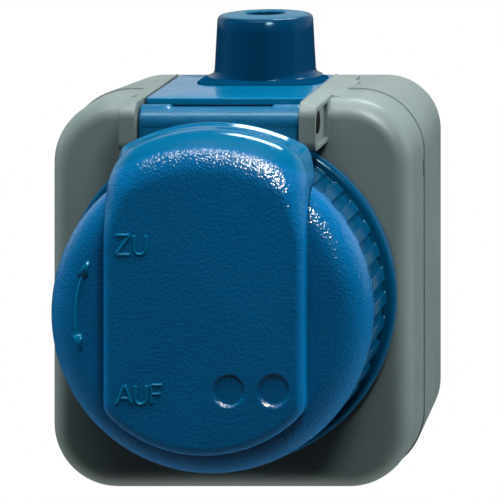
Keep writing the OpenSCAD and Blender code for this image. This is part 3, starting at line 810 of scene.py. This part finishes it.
@dataclass
class LockRing:
    """The turning ring, its hooks and the arrow on its face, in millimetres.

    Attributes:
        radius: radius of the dome and of the grip lands.
        flange_r: radius of the rear flange.
        flange_edge: rounding of the flange's front edge.
        back: distance from the wall to its rear edge.
        flange_t: thickness of the flange.
        front: distance from the wall to its front face.
        dome: reach of the dome's rounding across and along the axis.
        dome_back: where the grip begins behind the dome.
        tip: rounding of the small edges.
        inside: rounding between the inner wall and the roof.
        clear: how far a straight stretch keeps from a rounding.
        groove: depth of the grip's grooves.
        groove_run: where a groove begins and is full, behind the dome.
        land: width of a land between two grooves.
        lands: number of lands.
        land_steps: places from a land's middle into the groove, in half widths of the land.
        flank: where a groove's flank begins and ends, in half widths of the land.
        inner: radius of its inner wall.
        roof: distance from the wall to the underside of its face.
        bore: radius of the hole for the hub.
        hook: inner radius, rear and front of the bayonet hooks.
        hook_at: where the hooks stand, in degrees.
        hook_half: half of the angle that a hook spans.
        hook_root: how far a hook goes into the inner wall.
        hook_edge: rounding of a hook's edges.
        arrow_r: radius of the arrow's arc.
        arrow_tips: angles of its two points, in degrees.
        arrow_heads: angles of its heads' bases, in degrees.
        arrow_half: half widths of its bar, of a head and of a point.
    """

    radius: float = 32.8
    flange_r: float = 34.8
    flange_edge: float = 1.2
    back: float = 54.8
    flange_t: float = 3.6
    front: float = 80.5
    dome: Pair = (6.5, 5.5)
    dome_back: float = 74.0
    tip: float = 0.25
    inside: float = 2.3
    clear: float = 1.0
    groove: float = 0.7
    groove_run: Pair = (-0.1, 1.0)
    land: float = 2.5
    lands: int = 40
    land_steps: tuple[float, ...] = (0.0, 0.4, 0.75, 0.92, 1.0, 1.06, 1.12, 1.18, 1.26, 1.45, 1.75)
    flank: Pair = (0.96, 1.24)
    inner: float = 29.4
    roof: float = 77.5
    bore: float = 9.06
    hook: Triple = (26.0, 55.2, 58.3)
    hook_at: Pair = (30.0, 210.0)
    hook_half: float = 10.0
    hook_root: float = 0.3
    hook_edge: float = 0.4
    arrow_r: float = 26.7
    arrow_tips: Pair = (154.8, 194.6)
    arrow_heads: Pair = (162.0, 187.6)
    arrow_half: Triple = (0.15, 0.8, 0.03)

    def profile(self) -> np.ndarray:
        """Closed half section of the ring.

        The dome is a quarter ellipse of its two reaches. Other corners are arcs between straight lines.

        Returns:
            Radius, distance from the wall and share of the groove's depth, for each point.
        """
        foot = self.back + self.flange_t
        tip, inside, clear = self.tip, self.inside, self.clear
        dome_gap, grip_gap = 0.4, 0.3
        across, along = self.dome
        turn = np.linspace(QUARTER_TURN, 0.0, 18)
        crown = np.stack(
            [self.radius - across + across * np.cos(turn), self.front - along + along * np.sin(turn)], axis=-1
        )
        edge_r = self.flange_r - self.flange_edge
        before = [
            arc((self.bore + tip, self.front - tip), tip, 180.0, 90.0, TIP_POINTS),
            line((self.bore + clear, self.front), (crown[0, 0] - dome_gap, self.front), 8),
            crown,
        ]
        grip = line((self.radius, self.dome_back), (self.radius, foot), 12)
        after = [
            line((self.radius + grip_gap, foot), (edge_r, foot), 2),
            arc((edge_r, foot - self.flange_edge), self.flange_edge, 90.0, 0.0, BEND_POINTS),
            arc((self.flange_r - tip, self.back + tip), tip, 0.0, -90.0, TIP_POINTS),
            arc((self.inner + tip, self.back + tip), tip, 270.0, 180.0, TIP_POINTS),
            line((self.inner, self.back + 2.0 * clear), (self.inner, self.roof - inside - clear), 4),
            arc((self.inner - inside, self.roof - inside), inside, 0.0, 90.0, BEND_POINTS),
            line((self.inner - inside - clear, self.roof), (self.bore + clear, self.roof), 4),
            arc((self.bore + tip, self.roof + tip), tip, 270.0, 180.0, TIP_POINTS),
        ]
        front, rear = np.concatenate(before), np.concatenate(after)
        share = eased(self.dome_back - grip[:, 1], *self.groove_run)
        shares = np.concatenate([np.zeros(len(front)), share, np.zeros(len(rear))])
        return np.column_stack([np.concatenate([front, grip, rear]), shares])

    def turns(self) -> tuple[np.ndarray, np.ndarray]:
        """Places round the ring, closer together at the lands' edges.

        Returns:
            The angles in radians, and the groove's share at each.
        """
        pitch = FULL_TURN * self.radius / self.lands
        edge = self.land / 2.0 / pitch
        half = np.array(self.land_steps) * edge
        step = np.concatenate([-half[:0:-1], half, [0.5]])
        share = eased(np.abs(step) / edge, *self.flank)
        place = (np.arange(self.lands)[:, None] + step[None, :]).reshape(-1)
        return place * FULL_TURN / self.lands, np.tile(share, self.lands)

    def skin(self) -> np.ndarray:
        """Profile turned about the axis, its radius less the groove's depth times both shares.

        Returns:
            Points by row and column.
        """
        section = self.profile()
        turn, share = self.turns()
        radius = section[:, :1] - self.groove * section[:, 2:] * share[None, :]
        return placed(radius * np.cos(turn), radius * np.sin(turn), section[:, 1:2])

    def hook_skin(self, at: float) -> np.ndarray:
        """Round-cornered section carried along an arc about the axis.

        Args:
            at: where the hook stands, in degrees.

        Returns:
            Points by row and column.
        """
        inner, low, high = self.hook
        outer = self.inner + self.hook_root
        spot, _ = round_rect(outer - inner, high - low, self.hook_edge, 5)
        turn = np.radians(np.linspace(at - self.hook_half, at + self.hook_half, 24))[:, None]
        radius = spot[:, 0] + (inner + outer) / 2.0
        return placed(radius * np.cos(turn), radius * np.sin(turn), spot[:, 1] + (low + high) / 2.0)

    def arrow(self) -> Stroke:
        """Arc arrow with two heads: the half width falls from a head's base to nothing at its tip.

        Returns:
            The stroke on the ring's face.
        """
        bar, head, point = self.arrow_half
        (first, last), (start, end) = self.arrow_tips, self.arrow_heads
        step, count = 0.05, 30
        between = np.linspace(start + step, end - step, count)
        turn = np.radians(np.concatenate([[first, start], between, [end, last]]))
        half = np.concatenate([[point, head], np.full(count, bar), [head, point]])
        path = np.stack([self.arrow_r * np.cos(turn), self.arrow_r * np.sin(turn)], axis=-1)
        return Stroke(path, half, self.front)

    def build(self, grained: Material, polished: Material) -> None:
        """Builds the ring and its arrow on the ring's body.

        Args:
            grained: finish of the ring, its grip and flange a darker copy of the blue as painted shade.
            polished: finish of the arrow.
        """
        surface = Surface()
        surface.shell(self.skin(), looped=True)
        for at in self.hook_at:
            surface.shell(self.hook_skin(at))
        ring = surface.build("turning_ring", grained, Body.RING, Slot.BLUE)
        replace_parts(ring, "lock_ring")
        mark = Surface()
        mark.shell(self.arrow().grid())
        mark.build("turn_arrow", polished, Body.RING, Slot.BLUE)


@dataclass
class Flap:
    """The hinged flap with its hood, hinge barrel and raised words, in millimetres.

    Heights that come in pairs are where a change begins and where it is complete, seen from the front.

    Attributes:
        half: half of its width.
        front: distance from the wall to its face.
        edge: rounding of its long edges and toe.
        hood_r: radius of the hood behind its front rounding.
        hood_edge: rounding between the hood and the face.
        edge_rise: heights between which the edge's rounding grows to the hood's.
        rim: distance from the wall to the hood's rim, its radius, its slope in degrees and its step.
        rim_rise: heights between which the side's lower line becomes the rim.
        rim_from: heights between which the hood's slope and step begin.
        rim_steps: share of the slope still to come, drop and share of the step, for each row round the rim.
        most_flare: the most that the slope may run out.
        shoulder: rounding of the hood's corners, seen from the front.
        toe_r: radius of the lower end.
        toe_corner: rounding of the lower corners, seen from the front.
        room: radius, height and rounding of the room for the ring.
        hood_back: where the hood ends between the lugs, and beside them.
        blur: half width of the change between two places.
        hub: radius and rear end of the hub.
        sinks: centres of the round sinks.
        sink: radius and depth of a sink.
        hinge: height and distance from the wall of the hinge axis.
        barrel: radius and half length of the barrel.
        barrel_flat: height above the axis and half length of the barrel's level cut.
        barrel_edge: rounding of the barrel's ends.
        bore: radius of the hole for the pin.
        word_lines: base lines of the words for shut and open.
        word_tall: height of their letters.
        word_half: half width of their strokes.
        bowl: radius of a round letter's bowl, and the height where its stems begin.
    """

    half: float = 20.4
    front: float = 86.0
    edge: float = 2.0
    hood_r: float = 37.9
    hood_edge: float = 8.7
    edge_rise: Pair = (15.0, 35.0)
    rim: tuple[float, float, float, float] = (72.2, 38.5, 21.0, 1.2)
    rim_rise: Pair = (15.0, 30.0)
    rim_from: Pair = (27.0, 33.0)
    rim_steps: tuple[Triple, ...] = (
        (1.0, 0.0, 0.0), (0.93, 0.0, 0.0), (0.6, 0.0, 0.0), (0.3, 0.0, 0.0),
        (0.07, 0.0, 0.0), (0.0, 0.05, 0.08), (0.0, 0.15, 0.3), (0.0, 0.2, 1.0),
    )
    most_flare: float = 1.5
    shoulder: float = 10.0
    toe_r: float = 27.5
    toe_corner: float = 4.0
    room: Triple = (33.6, 81.0, 5.5)
    hood_back: Pair = (67.8, 71.4)
    blur: float = 0.2
    hub: Pair = (9.0, 77.2)
    sinks: tuple[Pair, ...] = ((5.2, -14.1), (14.3, -14.1))
    sink: Pair = (3.1, 0.6)
    hinge: Pair = (37.4, 64.6)
    barrel: Pair = (3.6, 16.5)
    barrel_flat: Pair = (2.9, 10.4)
    barrel_edge: float = 0.3
    bore: float = 1.66
    word_lines: Pair = (13.5, -16.75)
    word_tall: float = 3.9
    word_half: float = 0.12
    bowl: Pair = (1.2, 1.3)

    def outline(self) -> tuple[np.ndarray, np.ndarray, np.ndarray]:
        """Front view of the flap: toe arc, corner, side, shoulder and hood arc, then the same mirrored.

        Returns:
            Points, outward normals and the rounding at each point.
        """
        low_x = self.half - self.toe_corner
        low_y = -math.sqrt((self.toe_r - self.toe_corner) ** 2 - low_x**2)
        top_x = self.half - self.shoulder
        top_y = math.sqrt((self.hood_r - self.shoulder) ** 2 - top_x**2)
        low_turn = math.degrees(math.atan2(low_y, low_x))
        top_turn = math.degrees(math.atan2(top_y, top_x))
        side = line((self.half, low_y), (self.half, top_y), 76)
        arcs = [
            ((0.0, 0.0), self.toe_r, -90.0, low_turn, 46),
            ((low_x, low_y), self.toe_corner, low_turn, 0.0, 16),
            ((top_x, top_y), self.shoulder, 0.0, top_turn, 34),
            ((0.0, 0.0), self.hood_r, top_turn, 90.0, 38),
        ]
        pieces = [(arc(*given), np.linspace(*given[2:])) for given in arcs]
        pieces.insert(2, (side, np.zeros(len(side))))
        spots = np.concatenate([p[:-1] for p, _ in pieces] + [pieces[-1][0][-1:]])
        turn = np.radians(np.concatenate([a[:-1] for _, a in pieces] + [pieces[-1][1][-1:]]))
        normal = np.stack([np.cos(turn), np.sin(turn)], axis=-1)
        mirrored = np.s_[-2:0:-1]
        spots = np.concatenate([spots, spots[mirrored] * [-1.0, 1.0]])
        normal = np.concatenate([normal, normal[mirrored] * [-1.0, 1.0]])
        rounding = self.edge + (self.hood_edge - self.edge) * eased(spots[:, 1], *self.edge_rise)
        return spots, normal, rounding

    def ceiling(self, radius: np.ndarray) -> np.ndarray:
        """Underside above the ring: level, then a quarter circle down to the room's radius.

        Args:
            radius: distance from the ring's axis.

        Returns:
            Its distance from the wall.
        """
        reach, top, bend = self.room
        over = np.clip(radius - (reach - bend), 0.0, bend)
        return top - bend + np.sqrt(bend**2 - over**2)

    def dents(self, face: np.ndarray) -> np.ndarray:
        """Depth of the round sinks: full inside a circle, nothing outside it.

        Args:
            face: points of the face, in the front view.

        Returns:
            The depth at each point.
        """
        radius, depth = self.sink
        away = np.linalg.norm(face[..., None, :] - np.asarray(self.sinks), axis=-1)
        return depth * (1.0 - eased(away, radius - self.blur, radius + self.blur)).sum(axis=-1)

    def front_rows(self, spots: np.ndarray, normal: np.ndarray, rounding: np.ndarray) -> np.ndarray:
        """Rows of the face and its edge.

        The face is the outline scaled to the middle, less the sinks. The edge follows a quarter circle of the
        rounding at each point of the outline.

        Args:
            spots: points of the outline.
            normal: outward normals there.
            rounding: rounding of the edge there.

        Returns:
            Points by row and column.
        """
        innermost, rows = 0.01, 104
        scale = np.linspace(innermost, 1.0, rows)[:, None, None]
        face = (spots - normal * rounding[:, None])[None] * scale
        turn = np.linspace(QUARTER_TURN, 0.0, 16)[1:, None]
        edge = spots - normal * (rounding * (1.0 - np.cos(turn)))[..., None]
        edge_z = self.front - rounding + rounding * np.sin(turn)
        level = placed(face[..., 0], face[..., 1], self.front - self.dents(face))
        return np.concatenate([level, placed(edge[..., 0], edge[..., 1], edge_z)])

    def lower_line(self, x: np.ndarray, y: np.ndarray, reach: np.ndarray) -> np.ndarray:
        """Rear edge at each point of the outline: the ceiling over the ring, the hood's end outside of it.

        Args:
            x: to the right.
            y: up.
            reach: distance from the ring's axis.

        Returns:
            Its distance from the wall.
        """
        half_gap, far, spill = self.barrel[1], self.room[0], 0.3
        beside = eased(np.abs(x), half_gap - self.blur, half_gap + self.blur)
        back = self.hood_back[0] + (self.hood_back[1] - self.hood_back[0]) * beside
        outside = eased(reach, far - spill, far + spill) * (y > 0.0)
        return self.ceiling(reach) * (1.0 - outside) + back * outside

    def skin(self) -> np.ndarray:
        """Rows from the middle of the face out over the edge, down the side and back under to the hub.

        Behind the edge the hood runs out along an even slope to the rim's radius, and steps in. The underside
        is the ceiling at each radius.

        Returns:
            Points by row and column.
        """
        spots, normal, rounding = self.outline()
        x, y = spots[:, 0], spots[:, 1]
        reach = np.linalg.norm(spots, axis=1)
        low = self.lower_line(x, y, reach)
        rim, rim_r, slope, step = self.rim
        back_of_edge = self.front - rounding
        line_share, least_wall = 0.3, 0.1
        rim_z = low + line_share * (back_of_edge - low)
        rim_z = rim_z + (rim - rim_z) * eased(y, *self.rim_rise)
        hooded = eased(y, *self.rim_from)
        flare = np.clip(rim_r - reach, 0.0, self.most_flare) * hooded
        length = np.minimum(flare / math.tan(math.radians(slope)), back_of_edge - rim_z - least_wall)
        run, drop, back_in = np.array(self.rim_steps).T[..., None]
        grown = (reach + flare * (1.0 - run) - back_in * step * hooded) / reach
        side_z = rim_z + run * length - drop
        rows = [self.front_rows(spots, normal, rounding), placed(x * grown, y * grown, side_z)]
        rows.append(self.under_rows(x * grown[-1], y * grown[-1], side_z[-1], low))
        return np.concatenate(rows)

    def under_rows(self, x: np.ndarray, y: np.ndarray, side_z: np.ndarray, low: np.ndarray) -> np.ndarray:
        """Rows from the rim down to the rear edge, in under it and over the ceiling to the hub's end.

        Args:
            x: to the right, of the rim's last row.
            y: up.
            side_z: distance of that row from the wall.
            low: distance of the rear edge from the wall.

        Returns:
            Points by row and column.
        """
        hub_r, hub_back = self.hub
        reach = np.hypot(x, y)
        tip_in, wall, hub_tip = 0.25, 0.3, 0.2
        share = np.array([0.5, 0.97])[:, None]
        tip = np.minimum(1.0, (reach - tip_in) / reach)
        held = np.minimum(reach - wall, self.room[0]) / reach
        radius = hub_r + (reach * held - hub_r) * np.linspace(1.0, 0.0, 26)[:, None]
        hub = hub_r / reach
        return np.concatenate(
            [
                placed(x, y, side_z * (1.0 - share) + low * share),
                placed(x * tip, y * tip, low)[None],
                placed(x * held, y * held, low)[None],
                placed(x / reach * radius, y / reach * radius, self.ceiling(radius)),
                placed(x * hub, y * hub, np.array([[hub_back + hub_tip], [hub_back]])),
                placed(x * hub / 2.0, y * hub / 2.0, hub_back)[None],
            ]
        )

    def barrel_skin(self) -> np.ndarray:
        """Tube about the hinge axis, its upper side cut level over the middle.

        Returns:
            Points by row and column.
        """
        radius, half = self.barrel
        tip, (flat, flat_half) = self.barrel_edge, self.barrel_flat
        bore_half = half - 0.1
        section = np.concatenate(
            [
                line((bore_half, self.bore), (-bore_half, self.bore), 4),
                arc((-half + tip, radius - tip), tip, 180.0, 90.0, TIP_POINTS),
                line((-half + tip, radius), (half - tip, radius), 60),
                arc((half - tip, radius - tip), tip, 90.0, 0.0, TIP_POINTS),
            ]
        )
        turn = np.linspace(0.0, FULL_TURN, 72, endpoint=False)
        across, reach = section[:, :1], section[:, 1:]
        cap = flat + (radius - flat) * eased(np.abs(across), flat_half - self.blur, flat_half + self.blur)
        up = np.minimum(reach * np.sin(turn), np.where(reach > self.bore, cap, radius))
        return placed(across, self.hinge[0] + up, self.hinge[1] + reach * np.cos(turn))

    def web_skin(self) -> np.ndarray:
        """Block between barrel and hood: a round-cornered section along x, its foot in the hood's inside.

        Returns:
            Points by row and column.
        """
        half, sunk = self.barrel[1], 0.1
        side, corner = 2.0, 0.12
        across = np.linspace(-half, half, 40)[:, None]
        foot = np.sqrt(self.room[0] ** 2 - across**2) + sunk
        spot, _ = round_rect(side, side, corner, 4)
        share = spot / side + 0.5
        away = self.hinge[1] + (self.barrel[0] - sunk) * share[:, 0]
        up = foot + (self.hinge[0] - foot) * share[:, 1]
        return placed(across, up, away)

    def round_letter(self, left: float, base: float) -> np.ndarray:
        """A stem down, a half circle and a stem up.

        Args:
            left: place of the left stem.
            base: height of the base line.

        Returns:
            Points of the stroke.
        """
        radius, start = self.bowl
        right, top = left + 2.0 * radius, base + self.word_tall
        return np.concatenate(
            [
                line((left, top), (left, base + start), 8),
                arc((left + radius, base + radius), radius, 180.0, 360.0, 16),
                line((right, base + start), (right, top), 8),
            ]
        )

    def words(self) -> list[Stroke]:
        """Strokes of the two words for shut and open, each from a straight line or a bowl.

        Returns:
            The strokes.
        """
        (shut, opened), tall = self.word_lines, self.word_tall
        straight = {
            shut: [
                ((-17.5, tall), (-14.7, tall)), ((-14.7, tall), (-17.5, 0.0)), ((-17.5, 0.0), (-14.7, 0.0)),
            ],
            opened: [
                ((-17.3, 0.0), (-15.8, tall)), ((-15.8, tall), (-14.3, 0.0)), ((-16.7, 1.2), (-14.9, 1.2)),
                ((-10.4, 0.0), (-10.4, tall)), ((-10.4, tall), (-8.1, tall)), ((-10.4, 2.1), (-8.5, 2.1)),
            ],
        }
        paths = [self.round_letter(-13.9, shut), self.round_letter(-13.7, opened)]
        for base, strokes in straight.items():
            for start, end in strokes:
                count = 8 if start[1] == end[1] else 12
                paths.append(line(start, end, count) + [0.0, base])
        return [Stroke(path, np.full(len(path), self.word_half), self.front) for path in paths]

    def build(self, grained: Material, satin: Material, polished: Material) -> None:
        """Builds the flap, its hinge and its words on the lid's body.

        Args:
            grained: finish of the shell, its hood band a darker copy of the blue as painted shade.
            satin: finish of the hinge, a darker copy of the blue as painted shade.
            polished: finish of the words.
        """
        surface = Surface()
        surface.shell(self.skin())
        flap = surface.build("flap_shell", grained, Body.LID, Slot.BLUE)
        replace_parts(flap, "lid_flap")
        hinge = Surface()
        hinge.shell(self.barrel_skin(), looped=True)
        hinge.shell(self.web_skin())
        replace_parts(hinge.build("flap_hinge", satin, Body.LID, Slot.BLUE), "lid_flap")
        words = Surface()
        for stroke in self.words():
            words.shell(stroke.grid())
        words.build("flap_words", polished, Body.LID, Slot.BLUE)


@dataclass
class CableEntry:
    """The entry plate with its nozzle, in millimetres.

    Attributes:
        axis: nozzle axis, to the right and out of the wall.
        plate: half width, rear and front of the plate.
        plate_y: underside and upper face of the plate.
        plate_corner: rounding of the plate's corners, seen from above.
        pad: half length, rear, front, height and corner of the pad in front of the nozzle's foot.
        pad_x: middle of the pad, to the right.
        seat: radius of the round seat that carries the nozzle's rear half, and how far it lies below the pad.
        slab_edge: rounding of the edges of plate, pad and seat.
        foot_r: nozzle radius at its foot.
        top_r: nozzle radius at its top.
        top: height of the nozzle's shoulder.
        bend: rounding of the shoulder.
        crown: how far its top rises from the shoulder to the hole.
        hole_r: radius of the cable hole.
        lip: rounding of the hole's edge.
        roof: thickness of the nozzle's top.
        spigot: radius, inner radius and lower end of the spigot.
        flare: how far the foot runs out at both sides.
    """

    axis: Pair = (2.2, 26.0)
    plate: Triple = (16.5, 23.5, 60.7)
    plate_y: Pair = (40.2, 41.8)
    plate_corner: float = 0.8
    pad: tuple[float, float, float, float, float] = (13.3, 23.6, 41.2, 0.35, 5.5)
    pad_x: float = 2.85
    seat: Pair = (11.0, 0.05)
    slab_edge: float = 0.3
    foot_r: float = 10.7
    top_r: float = 10.0
    top: float = 55.0
    bend: float = 0.9
    crown: float = 0.4
    hole_r: float = 4.3
    lip: float = 0.5
    roof: float = 3.4
    spigot: Triple = (7.4, 5.6, 30.9)
    flare: float = 1.4

    def nozzle_skin(self) -> np.ndarray:
        """Half section turned about the nozzle's axis.

        The foot runs out by a hollow quarter circle, times the squared cosine of the angle from the plate's
        width.

        Returns:
            Points by row and column.
        """
        foot = self.plate_y[1] + self.pad[3]
        outer, inner, low = self.spigot
        bend, lip, hole_r = self.bend, self.lip, self.hole_r
        peak, under = self.top + self.crown, self.top - self.roof
        bend_r = self.top_r - bend
        buried, gap, spigot_gap = 1.0, 0.1, 1.0
        bend_span = (5.0, 80.0)
        (from_in, from_up), (to_out, to_down) = (0.8, 0.15), (0.3, 0.02)
        wall_y = foot + self.flare * (1.0 - np.cos(np.linspace(0.0, QUARTER_TURN, 10)))
        wall_y = np.concatenate([wall_y, np.linspace(wall_y[-1], self.top - bend, 6)[1:]])
        wall_r = self.foot_r + (self.top_r - self.foot_r) * (wall_y - foot) / (self.top - foot)
        section = np.concatenate(
            [
                line((outer, low), (outer, foot - buried), 4),
                line((self.foot_r, foot - buried), (self.foot_r, foot - gap), 2),
                np.stack([wall_r, wall_y], axis=-1),
                arc((bend_r, self.top - bend), bend, *bend_span, BEND_POINTS),
                line((bend_r - from_in, self.top + from_up), (hole_r + lip + to_out, peak - to_down), 5),
                arc((hole_r + lip, peak - lip), lip, 90.0, 180.0, 5),
                line((hole_r, peak - 2.0 * lip), (hole_r, under), 3),
                line((inner, under), (inner, low), 4),
            ]
        )
        drop = np.clip((foot + self.flare - section[:, 1:]) / self.flare, 0.0, 1.0)
        run = self.flare * (1.0 - np.sqrt(1.0 - drop**2)) * (section[:, :1] > outer + spigot_gap)
        turn = np.linspace(0.0, FULL_TURN, 144, endpoint=False)
        radius = section[:, :1] + run * np.cos(turn) ** 2
        x, z = self.axis[0] + radius * np.cos(turn), self.axis[1] + radius * np.sin(turn)
        return placed(x, section[:, 1:], z)

    def flat_skin(self, centre: Pair, size: Pair, corner: float, span: Pair) -> np.ndarray:
        """A level slab with round corners and edges.

        Args:
            centre: its middle, to the right and out of the wall.
            size: its width and depth.
            corner: rounding of its corners, seen from above.
            span: heights of its underside and its upper face.

        Returns:
            Points by row and column.
        """
        outline, normal = round_rect(*size, corner, 8)
        spot, height = slab(outline, normal, *span, self.slab_edge)
        return placed(centre[0] + spot[..., 0], height[:, None], centre[1] + spot[..., 1])

    def build(self, polished: Material, soft: Material, dull: Material) -> None:
        """Builds the plate, the nozzle and its pad on the housing.

        Args:
            polished: finish of the plate.
            soft: finish of the nozzle, a darker copy of the blue as painted shade, its top paler as painted
                light.
            dull: finish of the pad, dark and unreflecting, a painted reflection of the dark nozzle.
        """
        half, rear, front = self.plate
        middle = (0.0, (rear + front) / 2.0)
        plate = Surface()
        plate.shell(self.flat_skin(middle, (2.0 * half, front - rear), self.plate_corner, self.plate_y))
        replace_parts(plate.build("entry_plate", polished, Body.HOUSING, Slot.BLUE), "cable_entry")
        nozzle = Surface()
        nozzle.shell(self.nozzle_skin(), looped=True)
        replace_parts(nozzle.build("entry_nozzle", soft, Body.HOUSING, Slot.BLUE), "cable_entry")
        half, rear, front, height, corner = self.pad
        middle = (self.pad_x, (rear + front) / 2.0)
        low, high = self.plate_y[0], self.plate_y[1] + height
        (radius, drop), straight = self.seat, 0.01
        pad = Surface()
        pad.shell(self.flat_skin(middle, (2.0 * half, front - rear), corner, (low, high)))
        size = (2.0 * radius, 2.0 * radius)
        pad.shell(self.flat_skin(self.axis, size, radius - straight, (low, high - drop)))
        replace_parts(pad.build("entry_pad", dull, Body.HOUSING, Slot.BLUE), "cable_entry")


@dataclass
class PinShadeDiscs:
    """Near-black discs in the lugs' recesses round the hinge pin's holes, in millimetres: painted shade for
    the shadow inside the recesses.

    Attributes:
        axis: height and distance from the wall of the hinge axis.
        span: inner and outer end of a disc, from the middle of the socket.
        radius: radius of a disc.
        edge: rounding of its edges.
    """

    axis: Pair = Flap.hinge
    span: Pair = (18.1, 19.9)
    radius: float = 2.45
    edge: float = 0.3

    def skin(self, side: float) -> np.ndarray:
        """Round slab about the hinge axis: a circle with round edges, its heights along x times the side.

        Args:
            side: -1 for the left lug, 1 for the right one.

        Returns:
            Points by row and column.
        """
        outline, normal = round_rect(2.0 * self.radius, 2.0 * self.radius, self.radius, 12)
        spot, height = slab(outline, normal, *self.span, self.edge)
        return placed(side * height[:, None], self.axis[0] + spot[..., 0], self.axis[1] + spot[..., 1])

    def build(self, material: Material) -> None:
        """Builds both painted-shade discs on the housing.

        Args:
            material: finish of the discs, near black as painted shade.
        """
        shade_discs = Surface()
        for side in (-1.0, 1.0):
            shade_discs.shell(self.skin(side))
        shade_discs.build("pin_shade_discs", material, Body.HOUSING, Slot.RUBBER)


@dataclass
class Dresser:
    """Gives every carried-over solid its finish.

    Attributes:
        effects: the shared node groups.
        finishes: finish of each slot.
    """

    effects: Effects
    finishes: dict[Slot, Finish] = field(
        default_factory=lambda: {
            Slot.GREY: GREY_PLASTIC,
            Slot.BLUE: BLUE_GLOSS,
            Slot.RUBBER: BLACK_RUBBER,
            Slot.WHITE: WHITE_PLASTIC,
            Slot.BRASS: BRASS_STRIP,
            Slot.STEEL: ZINC_STEEL,
        }
    )

    def dress(self) -> None:
        """Puts each slot's material on the solids that the record gives it, then builds the new pieces."""
        made = {slot: finish.make(self.effects) for slot, finish in self.finishes.items()}
        polished = made[Slot.BLUE]
        grained = BLUE_GRAIN_AND_SHADED_BAND.make(self.effects, grain_and_painted_shade_zone)
        own = {"lid_flap": grained, "lock_ring": grained}
        for part in frame["record"]["subparts"]:
            solid = frame["nodes"][part["node"]]
            slot = Slot(part["material_slot"])
            solid.data.materials.clear()
            solid.data.materials.append(own.get(part["node"], made[slot]))
            log.info("solid %s in %s", part["node"], slot.value)
        LockRing().build(BLUE_RING_AND_SHADED_GRIP.make(self.effects, grain_and_painted_shade_zone), polished)
        Flap().build(grained, BLUE_SATIN_SHADED.make(self.effects), polished)
        CableEntry().build(polished, BLUE_NOZZLE_SHADE_AND_LIT_TOP.make(self.effects, nozzle_lit_top_mask), BLUE_PAD_PAINTED_REFLECTION.make(self.effects))
        PinShadeDiscs().build(PAINTED_SHADE_DISC.make(self.effects))


def main() -> None:
    """Builds the scene in order."""
    logging.basicConfig(level=logging.INFO, format="%(message)s")
    bpy.context.scene.view_settings.view_transform = "Standard"
    Dresser(Effects()).dress()
    Studio().build()
    PhotoCamera().build()
    bpy.context.view_layer.update()


if __name__ == "__main__":
    main()
